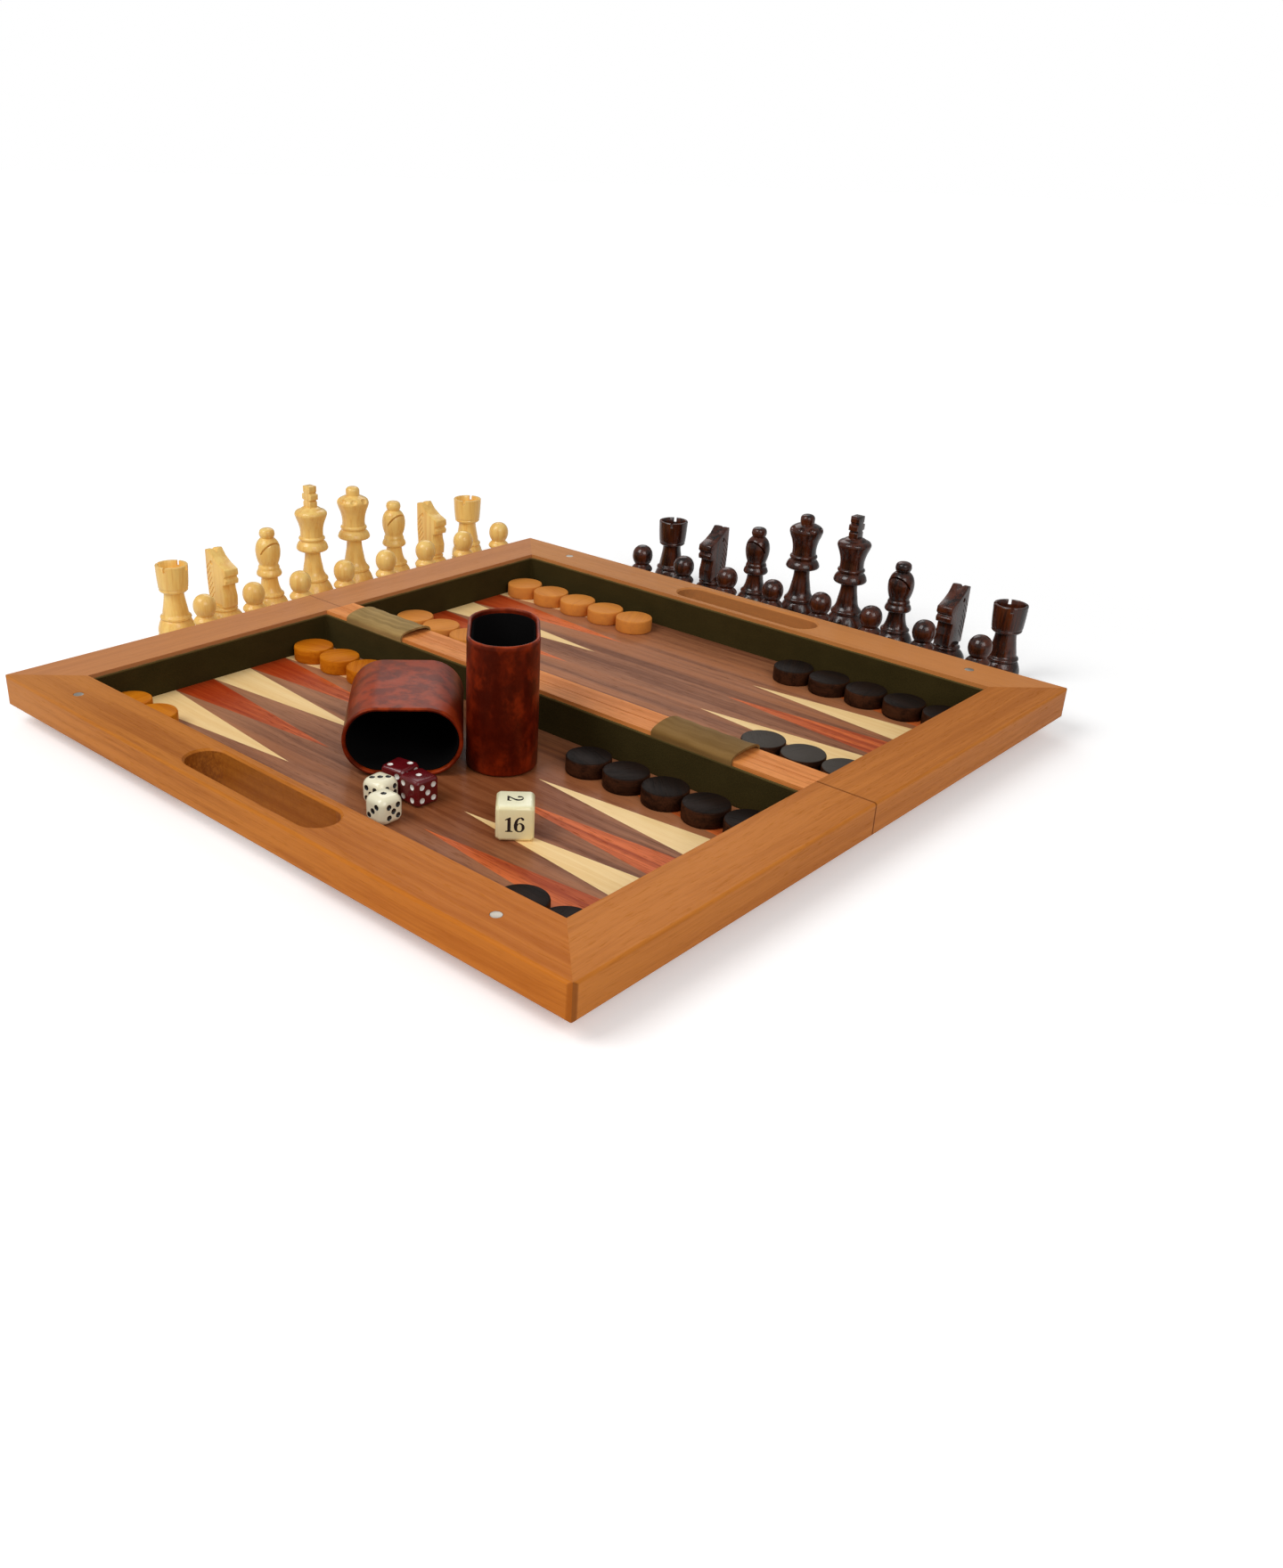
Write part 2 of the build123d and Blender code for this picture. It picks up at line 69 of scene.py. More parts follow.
turn = Matrix.Rotation(azimuth, 3, "Z")
turn = turn @ Matrix.Rotation(math.pi / 2 - elevation, 3, "X")
turn = turn @ Matrix.Rotation(roll, 3, "Z")
camera = bpy.data.objects.new("camera", bpy.data.cameras.new("camera"))
scene.collection.objects.link(camera)
camera.matrix_world = Matrix.Translation(turn @ eye + Vector((0, 0, rim_height))) @ turn.to_4x4()
camera.data.sensor_width = 36
camera.data.lens = focal_length / photo_height * camera.data.sensor_width
camera.data.shift_x = (photo_width / 2 - optical_centre) / photo_height
camera.data.clip_start = 0.01
scene.camera = camera
scene.view_settings.view_transform = "Standard"


class Wire:
    """An output of a shader node; sums and products of wires add Math nodes."""

    def __init__(self, finish, socket):
        self.finish = finish
        self.socket = socket

    def then(self, operation, other=0.0):
        """The wire and another value through a Math node."""
        return self.finish.node("Math", {"operation": operation}, {0: self, 1: other})

    def __add__(self, other):
        return self.then("ADD", other)

    def __sub__(self, other):
        return self.then("SUBTRACT", other)

    def __rsub__(self, other):
        return self.finish.node("Math", {"operation": "SUBTRACT"}, {0: other, 1: self})

    def __mul__(self, other):
        return self.then("MULTIPLY", other)

    def __abs__(self):
        return self.then("ABSOLUTE")

    __radd__ = __add__
    __rmul__ = __mul__


class Finish:
    """A node material, or the world, that is put together a node at a time."""

    def __init__(self, name, owner=None):
        self.material = owner or bpy.data.materials.new(name)
        self.material.use_nodes = True
        self.tree = self.material.node_tree
        self.shader = self.tree.nodes.get("Principled BSDF")

    def node(self, kind, settings={}, sockets={}, output=0):
        """Add a node with its settings, fill its sockets, and give one of its outputs."""
        made = self.tree.nodes.new("ShaderNode" + kind)
        for name, value in settings.items():
            setattr(made, name, value)
        self.fill(made, sockets)
        if isinstance(output, str):
            return Wire(self, made.outputs[output])
        return Wire(self, [socket for socket in made.outputs if socket.enabled][output])

    def fill(self, made, sockets):
        """Set or link sockets, which are named or numbered."""
        for key, value in sockets.items():
            socket = made.inputs[key] if isinstance(key, int) else next(
                found for found in made.inputs if found.enabled and found.name == key)
            if isinstance(value, Wire):
                self.tree.links.new(value.socket, socket)
            elif socket.type == "RGBA":
                socket.default_value = (*value, 1.0)
            else:
                socket.default_value = value

    def surface(self, **sockets):
        """Fill sockets of the surface shader, named with capitals and underscores."""
        self.fill(self.shader, {name.replace("_", " "): value for name, value in sockets.items()})

    def mix(self, factor, first, second):
        """The first colour at 0, the second at 1."""
        return self.node("Mix", {"data_type": "RGBA"}, {"Factor": factor, "A": first, "B": second})

    def rise(self, value, low, high):
        """0 at low and 1 at high, with a smooth change between them."""
        return self.node(
            "MapRange", {"interpolation_type": "SMOOTHSTEP"},
            {"Value": value, "From Min": low, "From Max": high})

    def noise(self, place, size, detail=2.0, roughness=0.5):
        """Cloudy noise whose patches have these sizes along the three axes."""
        stretched = self.node(
            "VectorMath", {"operation": "MULTIPLY"}, {0: place, 1: tuple(1 / part for part in size)})
        return self.node(
            "TexNoise", {}, {"Vector": stretched, "Scale": 1.0, "Detail": detail, "Roughness": roughness})

    def bump(self, height, strength, depth):
        """The surface's direction, tilted as if it had these heights."""
        return self.node("Bump", {}, {"Strength": strength, "Distance": depth, "Height": height})


room = Finish("room", bpy.data.worlds.new("room"))
scene.world = room.material
seen = room.node("LightPath", output="Is Camera Ray")
background = room.tree.nodes["Background"]
room_light = 0.34
room.fill(background, {"Color": room_light + seen * (1 - room_light), "Strength": 1.0})


def mesh_of(shape, name):
    """A mesh from a bmesh, which is used up."""
    mesh = bpy.data.meshes.new(name)
    shape.to_mesh(mesh)
    shape.free()
    return mesh


table_radius = 9.0
glow_nearby = 0.28
glow_far_off = 0.88
fade = (0.25, 1.8)
table_top = bmesh.new()
bmesh.ops.create_circle(table_top, cap_ends=True, segments=64, radius=table_radius)
table = bpy.data.objects.new("table", mesh_of(table_top, "table"))
scene.collection.objects.link(table)
white = Finish("white table")
far_off = white.node("TexCoord", output="Object")
far_off = white.rise(white.node("VectorMath", {"operation": "LENGTH"}, {0: far_off}, "Value"), *fade)
glow = glow_nearby + far_off * (glow_far_off - glow_nearby)
white.surface(Base_Color=(0.94, 0.94, 0.94), Roughness=0.9, Specular_IOR_Level=0.2,
              Emission_Color=white.node("LightPath", output="Is Camera Ray") * glow,
              Emission_Strength=1.0)
table.data.materials.append(white.material)


def lamp(name, place, size, power):
    """A square area lamp that looks at the middle of the box."""
    made = bpy.data.objects.new(name, bpy.data.lights.new(name, "AREA"))
    scene.collection.objects.link(made)
    made.data.size = size
    made.data.energy = power
    made.location = place
    made.rotation_mode = "QUATERNION"
    made.rotation_quaternion = Vector(place).to_track_quat("Z", "Y")


lamp("window", (-0.45, -1.2, 1.5), 1.0, 17.5)
lamp("fill", (1.3, -0.6, 1.0), 0.9, 8.0)
lamp("backdrop", (-1.0, 1.1, 1.1), 0.9, 4.0)


# ---- The frames of the two trays ---------------------------------------------------------------------
# Straight-grained honey brown hardwood in lacquer: a handle rail and two side rails to a tray,
# mitred and glued at the outer corners, where the round corner shows dark end grain.
def wood(name, pale, dark, along="X", attribute=None, pores=0.3, width=3.5 * mm, gloss=0.42, shine=0.08):
    """Lacquered wood with its grain along one axis of the box, or of an attribute of the piece."""
    finish = Finish(name)
    if attribute:
        place = finish.node("Attribute", {"attribute_name": attribute}, output="Vector")
    else:
        place = finish.node("TexCoord", output="Object")
    quarter = math.pi / 2
    turned_by = {"X": (0, 0, 0), "Y": (0, 0, quarter), "Z": (0, quarter, 0)}[along]
    place = finish.node("Mapping", {}, {"Vector": place, "Rotation": turned_by})
    sway = finish.noise(place, (90 * mm, 25 * mm, 25 * mm))
    sway = finish.node("CombineXYZ", {}, {"Y": sway * (7 * mm), "Z": sway * (5 * mm)})
    place = finish.node("VectorMath", {"operation": "ADD"}, {0: place, 1: sway})
    bands = finish.noise(place, (400 * mm, 4 * width, 4 * width))
    streaks = finish.noise(place, (160 * mm, width, width), detail=3.0, roughness=0.6)
    fibres = finish.noise(place, (26 * mm, 0.7 * mm, 0.7 * mm))
    specks = finish.noise(place, (7 * mm, 0.55 * mm, 0.55 * mm))
    specks = finish.rise(specks, 0.56, 0.7)
    tone = finish.rise(bands * 0.4 + streaks * 0.4 + fibres * 0.2, 0.38, 0.62)
    finish.colour = finish.mix(tone, dark, pale)
    deep = tuple(part * 0.4 for part in dark)
    finish.colour = finish.mix(specks * pores, finish.colour, deep)
    finish.surface(
        Base_Color=finish.colour,
        Roughness=gloss + specks * 0.2 - tone * 0.06,
        Normal=finish.bump(fibres - specks, 0.25, 0.15 * mm),
        Specular_IOR_Level=shine,
        Coat_Weight=0.3 * shine,
        Coat_Roughness=0.28,
    )
    return finish


def stain(finish, mask, colour):
    """Lay another colour over a finish where the mask is 1."""
    finish.colour = finish.mix(mask, finish.colour, colour)
    finish.surface(Base_Color=finish.colour)


def dress(finish, *nodes):
    """Give carried-over pieces their finish."""
    for name in nodes:
        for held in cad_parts[name].material_slots:
            held.material = finish.material


half = 5 * square
honey = (0.55, 0.184, 0.023)
honey_dark = (0.375, 0.108, 0.011)
rose_honey = (0.575, 0.19, 0.028)
rose_honey_dark = (0.45, 0.137, 0.018)
warm_tint = (0.61, 0.145, 0.005)
rose_tint = (0.60, 0.24, 0.062)
pale_tint = (0.72, 0.34, 0.13)
pink_tint = (0.62, 0.30, 0.15)
end_grain = (0.22, 0.060, 0.008)
corner_reach = 3.2 * mm
slot_centre = 174.8 * mm
slot_radius = 9.5 * mm
slot_straight = 38.5 * mm


def place_along(finish, axis):
    """Metres from the frame's origin along one axis of the box."""
    return finish.node("SeparateXYZ", {}, {"Vector": finish.node("TexCoord", output="Object")}, axis)


def frame_wood(name, pale, dark, along):
    """Frame timber, with its dark corners and the rough end grain inside the carrying slot."""
    finish = wood(name, pale, dark, along, pores=0.16)
    x, y, z = abs(place_along(finish, "X")), abs(place_along(finish, "Y")), place_along(finish, "Z")
    corner = finish.rise(2 * half - x - y, corner_reach, corner_reach - 1 * mm)
    stain(finish, corner * 0.8, end_grain)
    butted = finish.rise(y, 0.9 * mm, 0.3 * mm)
    stain(finish, butted * 0.7, end_grain)
    past = (x - slot_straight).then("MAXIMUM")
    off = (past * past + (y - slot_centre) * (y - slot_centre)).then("SQRT")
    inside = finish.rise(off, slot_radius + 0.5 * mm, slot_radius + 0.1 * mm)
    inside = inside * finish.rise(z, rim_height - 0.6 * mm, rim_height - 1.4 * mm)
    torn = finish.noise(finish.node("TexCoord", output="Object"), (1.6 * mm, 1.6 * mm, 2.2 * mm), 4.0, 0.7)
    ends = finish.rise(past, 0.0, 4 * mm)
    stain(finish, inside * (0.40 + finish.rise(torn, 0.4, 0.6) * (0.12 + ends * 0.3)), end_grain)
    return finish


# The timber is warmer to the right, rosier to the left and paler on the far side.
long_rails = frame_wood("handle rail timber", honey, honey_dark, "X")
to_right = place_along(long_rails, "X")
to_far_side = place_along(long_rails, "Y")
stain(long_rails, long_rails.rise(to_right, -40 * mm, 150 * mm) * 0.35, warm_tint)
stain(long_rails, long_rails.rise(to_right, -80 * mm, -185 * mm) * 0.5, rose_tint)
stain(long_rails, long_rails.rise(to_far_side, -20 * mm, 20 * mm) * 0.4, pale_tint)
dress(long_rails, "near_handle_rail", "far_handle_rail")
side_rails = frame_wood("side rail timber", rose_honey, rose_honey_dark, "Y")
on_left = side_rails.rise(place_along(side_rails, "X"), 10 * mm, -10 * mm)
stain(side_rails, on_left * 0.45, pink_tint)
dress(side_rails, "near_left_rail", "near_right_rail", "far_left_rail", "far_right_rail")

# ---- The hinge rails ---------------------------------------------------------------------------------
# Two thin bars meet at the hinge line. They are a paler, pinker timber than the frame,
# planed flush with the rims and lacquered like them.
rosy = (0.86, 0.32, 0.085)
rosy_dark = (0.64, 0.20, 0.045)
dress(wood("hinge rail timber", rosy, rosy_dark, "X", pores=0.3), "near_hinge_rail", "far_hinge_rail")


# ---- The magnets -------------------------------------------------------------------------------------
# Four small nickel plated discs let into the rims by the outer corners hold the shut box together.
# Each is pressed flush into its pocket and has a softly rounded edge.
def trace(curve, points, closed=False):
    """A line of a curve through (place, sharp) points, rounded where they aren't sharp."""
    line = curve.splines.new("BEZIER")
    line.use_cyclic_u = closed
    line.bezier_points.add(len(points) - 1)
    for point, (place, sharp) in zip(line.bezier_points, points):
        point.co = place
        point.handle_left_type = "VECTOR" if sharp else "AUTO"
        point.handle_right_type = "VECTOR" if sharp else "AUTO"


def turned(outline, steps=48):
    """A shape spun from (radius, height) points in millimetres; a third value marks a sharp point."""
    curve = bpy.data.curves.new("outline", "CURVE")
    curve.dimensions = "3D"
    curve.resolution_u = 5
    trace(curve, [((radius * mm, 0, height * mm), sharp) for radius, height, *sharp in outline])
    holder = bpy.data.objects.new("outline", curve)
    line = bpy.data.meshes.new_from_object(holder)
    shape = bmesh.new()
    shape.from_mesh(line)
    bmesh.ops.rotate(
        shape, cent=(0, 0, 0), matrix=Matrix.Rotation(math.pi / steps, 3, "Z"), verts=shape.verts)
    bmesh.ops.spin(
        shape, geom=shape.verts[:] + shape.edges[:], cent=(0, 0, 0), axis=(0, 0, 1),
        angle=2 * math.pi, steps=steps, use_merge=True)
    bmesh.ops.remove_doubles(shape, verts=shape.verts, dist=1e-6)
    bpy.data.objects.remove(holder)
    return shape


def set_out(shape, places):
    """Copies of a shape at (x, y, z, turn), each with its own grain, kept in an attribute."""
    grain_shift = Vector((0.31, 0.17, 0.23))
    pattern = mesh_of(shape, "pattern")
    together = bmesh.new()
    grain = together.verts.layers.float_vector.new("grain")
    for number, (x, y, z, angle) in enumerate(places):
        known = len(together.verts)
        together.from_mesh(pattern)
        together.verts.ensure_lookup_table()
        fresh = together.verts[known:]
        for vertex in fresh:
            vertex[grain] = vertex.co + grain_shift * (number + 1)
        move = Matrix.Translation((x, y, z)) @ Matrix.Rotation(angle, 4, "Z")
        bmesh.ops.transform(together, matrix=move, verts=fresh)
    bpy.data.meshes.remove(pattern)
    return together


def piece(name, shape, finishes, body, slot, *replaced, crease=35):
    """A finished piece from a bmesh, riding on a body, if one is named, for some CAD nodes."""
    bmesh.ops.recalc_face_normals(shape, faces=shape.faces)
    mesh = mesh_of(shape, name)
    for finish in finishes:
        mesh.materials.append(finish.material)
    mesh.shade_smooth()
    mesh.set_sharp_from_angle(angle=math.radians(crease))
    made = bpy.data.objects.new(name, mesh)
    scene.collection.objects.link(made)
    if body:
        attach(made, body)
    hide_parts(*replaced)
    return made


nickel = Finish("nickel plate")
spots = nickel.noise(nickel.node("TexCoord", output="Object"), (0.6 * mm, 0.6 * mm, 0.6 * mm), 3.0)
nickel.surface(Base_Color=nickel.mix(spots, (0.44, 0.40, 0.34), (0.62, 0.57, 0.49)),
               Roughness=0.28 + spots * 0.2, Metallic=1.0)
magnet_radius = 2.45
magnet_height = 3.0
magnet_x = 142 * mm
magnet_y = 177 * mm
for tray, side in (("near", -1), ("far", 1)):
    r, h = magnet_radius, magnet_height
    disc = turned((
        (0, 0, 1), (r, 0, 1), (r, h - 0.25, 1), (r - 0.07, h - 0.08), (r - 0.25, h - 0.02, 1), (0, h, 1)))
    places = [(sx * magnet_x, side * magnet_y, rim_height - h * mm, 0) for sx in (-1, 1)]
    piece(f"{tray}_magnet_discs", set_out(disc, places), [nickel], f"{tray}_tray", "steel",
          f"{tray}_magnets")


# ---- The chessboard on the outside -------------------------------------------------------------------
# Thin squares of maple and walnut on a plain core, in a mitred walnut border with a dark
# rounded edge. It faces down while the box lies open.
brown_tint = (0.30, 0.13, 0.05)


def inlay(finish, strength):
    """Each square of the board is cut from another place of the sheet, so its tone differs."""
    place = finish.node("TexCoord", output="Object")
    cell = finish.node("VectorMath", {"operation": "DIVIDE"}, {0: place, 1: (square, square, 1.0)})
    cell = finish.node("VectorMath", {"operation": "FLOOR"}, {0: cell})
    tone = finish.node("TexWhiteNoise", {"noise_dimensions": "3D"}, {"Vector": cell})
    stain(finish, tone * strength, brown_tint)


maple_pale = (0.90, 0.60, 0.32)
maple_dark = (0.78, 0.45, 0.20)
walnut_pale = (0.22, 0.088, 0.042)
walnut_dark = (0.085, 0.032, 0.022)
edge_brown = (0.045, 0.014, 0.018)
maple = wood("maple squares", maple_pale, maple_dark, "Y", pores=0.05, gloss=0.38)
inlay(maple, 0.12)
dark_walnut = wood("walnut squares", walnut_pale, walnut_dark, "Y", pores=0.4, width=2.5 * mm, gloss=0.38)
inlay(dark_walnut, 0.2)
dress(maple, "near_light_squares", "far_light_squares")
dress(dark_walnut, "near_dark_squares", "far_dark_squares")
dress(wood("core board", (0.55, 0.36, 0.18), (0.42, 0.25, 0.11), "Y"), "near_board_core", "far_board_core")

border = wood("walnut border", walnut_pale, walnut_dark, "X", pores=0.4, width=2.5 * mm, gloss=0.38)
stain(border, border.rise(place_along(border, "Z"), 0.2 * mm, 1.2 * mm) * 0.85, edge_brown)
dress(border, "near_board_border", "far_board_border")

# ---- The backgammon floor ----------------------------------------------------------------------------
# A walnut ground with strong streaks, and long points of maple and padauk let into it,
# all sanded level and lacquered together. The grain runs along the points.
floor_walnut = (0.37, 0.145, 0.064)
floor_walnut_dark = (0.19, 0.066, 0.029)
pink_streak = (0.46, 0.17, 0.065)
painted_cup_shadow = (0.20, 0.036, 0.0)
pale_walnut = (0.56, 0.28, 0.15)
under_the_cups = (46 * mm, -82 * mm, 5 * mm)
ground = wood("streaked walnut floor", floor_walnut, floor_walnut_dark, "X",
              pores=0.4, width=3 * mm, gloss=0.36)
ground_place = ground.node("TexCoord", output="Object")
pink = ground.noise(ground_place, (500 * mm, 11 * mm, 11 * mm), 3.0)
stain(ground, ground.rise(pink, 0.52, 0.66) * 0.6, pink_streak)
# Painted shadow and red reflection: round the cups the floor is painted darker and redder.
from_the_cups = ground.node(
    "VectorMath", {"operation": "DISTANCE"}, {0: ground_place, 1: under_the_cups}, "Value")
stain(ground, ground.rise(from_the_cups, 80 * mm, 20 * mm) * 0.46, painted_cup_shadow)
stain(ground, ground.rise(place_along(ground, "X"), -60 * mm, -120 * mm) * 0.3, pale_walnut)
dress(ground, "near_floor_veneer", "far_floor_veneer")
cream = wood("maple points", (1.0, 0.71, 0.34), (0.92, 0.61, 0.26), "X", pores=0.06, gloss=0.36)
dress(cream, "near_cream_points", "far_cream_points")
padauk = wood("padauk points", (0.74, 0.160, 0.035), (0.36, 0.050, 0.010), "X",
              pores=0.5, width=3 * mm, gloss=0.36)
dark_padauk = (0.34, 0.024, 0.003)
stain(padauk, padauk.rise(place_along(padauk, "X"), -90 * mm, -150 * mm) * 0.7, dark_padauk)
dress(padauk, "near_red_points", "far_red_points")

# ---- The felt lining ---------------------------------------------------------------------------------
# A strip of dark olive felt is glued round the inside of each tray. Its cut upper edge stops
# just under the rims, a little uneven, and it turns the corners in small rounds.
felt = Finish("olive felt")
felt_place = felt.node("TexCoord", output="Object")
fuzz = felt.noise(felt_place, (0.5 * mm, 0.5 * mm, 0.5 * mm), 4.0, 0.7)
cloud = felt.noise(felt_place, (14 * mm, 14 * mm, 9 * mm), 3.0)
felt_tone = felt.rise(fuzz * 0.8 + cloud * 0.2, 0.3, 0.7)
felt.colour = felt.mix(felt_tone, (0.024, 0.016, 0.003), (0.056, 0.038, 0.009))
felt_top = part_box("near_felt_lining")[1][2]
# Painted highlight: the cut upper edge is painted paler, as if it caught the light.
lit_cut_edge = felt.rise(place_along(felt, "Z"), felt_top - 0.9 * mm, felt_top - 0.4 * mm)
stain(felt, lit_cut_edge * 0.6, (0.16, 0.115, 0.035))
felt.surface(Roughness=0.95, Normal=felt.bump(fuzz, 0.5, 0.3 * mm), Specular_IOR_Level=0.1,
             Sheen_Weight=0.08, Sheen_Roughness=0.5, Sheen_Tint=(0.6, 0.55, 0.2))
felt_depth = 1.0 * mm
felt_corner = 2.2 * mm
felt_gap = 0.05 * mm
for tray in ("near", "far"):
    low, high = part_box(f"{tray}_felt_lining")
    strip = bmesh.new()
    bmesh.ops.create_grid(strip, x_segments=1, y_segments=1, size=0.5)
    bmesh.ops.delete(strip, geom=strip.faces[:], context="FACES_ONLY")
    for vertex in strip.verts:
        vertex.co.x = (low[0] + felt_gap) if vertex.co.x < 0 else (high[0] - felt_gap)
        vertex.co.y = (low[1] + felt_gap) if vertex.co.y < 0 else (high[1] - felt_gap)
        vertex.co.z = low[2]
    bmesh.ops.bevel(strip, geom=strip.verts[:], offset=felt_corner, segments=4, profile=0.5,
                    affect="VERTICES", material=-1)
    walls = [edge for edge in strip.edges if edge.calc_length() > 20 * mm]
    bmesh.ops.subdivide_edges(strip, edges=walls, cuts=60)
    raised = bmesh.ops.extrude_edge_only(strip, edges=strip.edges[:])["geom"]
    for vertex in [part for part in raised if isinstance(part, bmesh.types.BMVert)]:
        x, y = vertex.co.xy
        uneven = math.sin(x * 190) + math.sin(y * 230 + 1) + math.sin((x + y) * 610)
        vertex.co.z = high[2] - (0.12 + 0.05 * uneven) * mm
    bmesh.ops.recalc_face_normals(strip, faces=strip.faces[:])
    bmesh.ops.solidify(strip, geom=strip.faces[:], thickness=felt_depth)
    made = piece(f"{tray}_felt_strip", strip, [felt], f"{tray}_tray", "felt", f"{tray}_felt_lining")

# ---- The hinges --------------------------------------------------------------------------------------
# Two brass butt hinges join the trays, each let in flush with countersunk screws and turning
# on a brass pin. They lie hidden under the straps.
brass = Finish("satin brass")
tarnish = brass.noise(brass.node("TexCoord", output="Object"), (5 * mm, 5 * mm, 5 * mm), 3.0)
brass.surface(Base_Color=brass.mix(tarnish, (0.50, 0.32, 0.11), (0.74, 0.54, 0.24)),
              Roughness=0.3 + tarnish * 0.15, Metallic=1.0)
dress(brass, "near_hinge_leaves", "far_hinge_leaves", "near_hinge_screws", "far_hinge_screws",
      "hinge_pins")

# ---- The straps over the hinges ----------------------------------------------------------------------
# A wide strip of olive suede crosses both hinge rails over each hinge. Its ends are tucked
# behind the felt, it arches clear of the rims, and its free edges curl up a little.
suede = Finish("olive suede")
suede_place = suede.node("TexCoord", output="Object")
nap = suede.noise(suede_place, (0.45 * mm, 0.45 * mm, 0.45 * mm), 4.0, 0.7)
rubbed = suede.noise(suede_place, (40 * mm, 3 * mm, 6 * mm), 2.0)
suede_tone = suede.rise(nap * 0.3 + rubbed * 0.7, 0.33, 0.67)
suede.colour = suede.mix(suede_tone, (0.25, 0.155, 0.048), (0.42, 0.265, 0.092))
stain(suede, suede.rise(place_along(suede, "X"), -60 * mm, 60 * mm) * 0.6, (0.13, 0.045, 0.0))
suede.surface(Roughness=0.85, Normal=suede.bump(nap, 0.3, 0.2 * mm), Specular_IOR_Level=0.2,
              Sheen_Weight=0.1, Sheen_Roughness=0.5, Sheen_Tint=(0.9, 0.85, 0.6))
strap_thickness = 1.1 * mm
tuck_start = 0.86
curl_height = 0.6 * mm
crease_height = 0.22 * mm
for name, node in (("left_strap", "left_hinge_strap"), ("right_strap", "right_hinge_strap")):
    low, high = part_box(node)
    middle = (low[0] + high[0]) / 2
    width = high[0] - low[0]
    reach = high[1] - 0.1 * mm
    crown = high[2] - 0.6 * mm
    strap = bmesh.new()
    bmesh.ops.create_grid(strap, x_segments=24, y_segments=32, size=0.5)
    for vertex in strap.verts:
        side, ahead = vertex.co.x, 2 * vertex.co.y
        tuck = max(0.0, abs(ahead) - tuck_start) / (1 - tuck_start)
        run = min(abs(ahead) / tuck_start, 1.0)
        y = math.copysign(reach * math.sin(run * math.pi / 2 * 0.98), ahead)
        arch = (crown - rim_height) * math.cos(run * math.pi / 2) ** 0.8
        z = rim_height + arch - tuck * (rim_height - low[2])
        curl = (2 * abs(side)) ** 6 * curl_height * (1 - run ** 2)
        crease = crease_height * math.sin(side * 23 + ahead * 5) * (1 - run ** 4)
        vertex.co = (middle + side * (width - 0.4 * mm), y, z + curl + crease)
    strap.normal_update()
    bmesh.ops.solidify(strap, geom=strap.faces[:], thickness=strap_thickness)
    made = piece(name, strap, [suede], None, "suede", node, crease=50)
    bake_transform(made)

# ---- The checkers ------------------------------------------------------------------------------------
# Thirty flat wooden discs with softened edges, fifteen natural and fifteen stained near
# black, cut across the grain and lacquered.
checker_radius = 11.0
checker_height = 8.0
checker_edge = 0.9
checker_pitch = 22.8 * mm
first_checker = 148.5 * mm
floor_top = 4.8 * mm
natural_wood = wood("natural checker wood", (0.66, 0.205, 0.008), (0.50, 0.125, 0.004), "X", "grain",
                    pores=0.15, width=2.2 * mm, shine=0.03)
stained_wood = wood("stained checker wood", (0.058, 0.020, 0.009), (0.018, 0.007, 0.004), "X", "grain",
                    pores=0.3, width=2.2 * mm, shine=0.03)


def facing_up(finish):
    """1 on a face that looks up, 0 on a wall."""
    return finish.node("SeparateXYZ", {}, {"Vector": finish.node("TexCoord", output="Normal")}, "Z")


# The far tray's natural checkers are paler, and the dark ones by its hinge have a painted reflection: their
# tops are painted grey, as if they caught a sheen.
on_top = stained_wood.rise(facing_up(stained_wood), 0.6, 0.95)
stain(stained_wood, on_top * 0.8, (0.008, 0.007, 0.006))
past_hinge = stained_wood.rise(place_along(stained_wood, "Y"), 10 * mm, 30 * mm)
near_hinge = stained_wood.rise(place_along(stained_wood, "Y"), 90 * mm, 70 * mm)
stain(stained_wood, on_top * (past_hinge * near_hinge) * 0.5, (0.12, 0.105, 0.09))
in_far_tray = natural_wood.rise(place_along(natural_wood, "Y"), 10 * mm, 30 * mm)
stain(natural_wood, in_far_tray * 0.35, (0.90, 0.42, 0.13))
rows = {
    "near": ((-30.0, 5), (-146.5, 2)),
    "far": ((46.5, 3), (142.0, 5)),
}
turns = (0.3, 1.2, 2.4, 0.8, 2.9, 1.7, 0.1, 2.0)
for tray, rows_of_tray in rows.items():
    for side, colour, finish, slot in (
        (-1, "natural", natural_wood, "boxwood"), (1, "dark", stained_wood, "ebonised"),
    ):
        r, h, e = checker_radius, checker_height, checker_edge
        disc = turned((
            (0, 0, 1), (r - e, 0, 1), (r - 0.3 * e, 0.3 * e), (r, e, 1),
            (r, h - e, 1), (r - 0.3 * e, h - 0.3 * e), (r - e, h - 0.02, 1), (0, h, 1)))
        places = []
        for y, count in rows_of_tray:
            for number in range(count):
                x = side * (first_checker - number * checker_pitch)
                places.append((x, y * mm, floor_top, turns[len(places)]))
        piece(f"{tray}_{colour}_discs", set_out(disc, places), [finish], f"{tray}_tray", slot,
              f"{tray}_{colour}_checkers")


# ---- The dice ----------------------------------------------------------------------------------------
# Two ivory coloured plastic dice with black pips and two dark red ones with white pips,
# moulded with rounded corners. The pips are drilled and painted.
def cut(name, shape, cutter):
    """The shape with the cutter taken away; the cut faces take the cutter's finish number."""
    parts = []
    for label, made in ((name, shape), ("cutter", cutter)):
        bmesh.ops.recalc_face_normals(made, faces=made.faces[:])
        mesh = mesh_of(made, label)
        mesh.materials.append(None)
        mesh.materials.append(None)
        parts.append(bpy.data.objects.new(label, mesh))
        scene.collection.objects.link(parts[-1])
    boolean = parts[0].modifiers.new("cut", "BOOLEAN")
    boolean.operation = "DIFFERENCE"
    boolean.solver = "EXACT"
    boolean.object = parts[1]
    bpy.context.view_layer.update()
    result = bmesh.new()
    result.from_mesh(parts[0].evaluated_get(bpy.context.evaluated_depsgraph_get()).to_mesh())
    for part in parts:
        bpy.data.objects.remove(part)
    return result


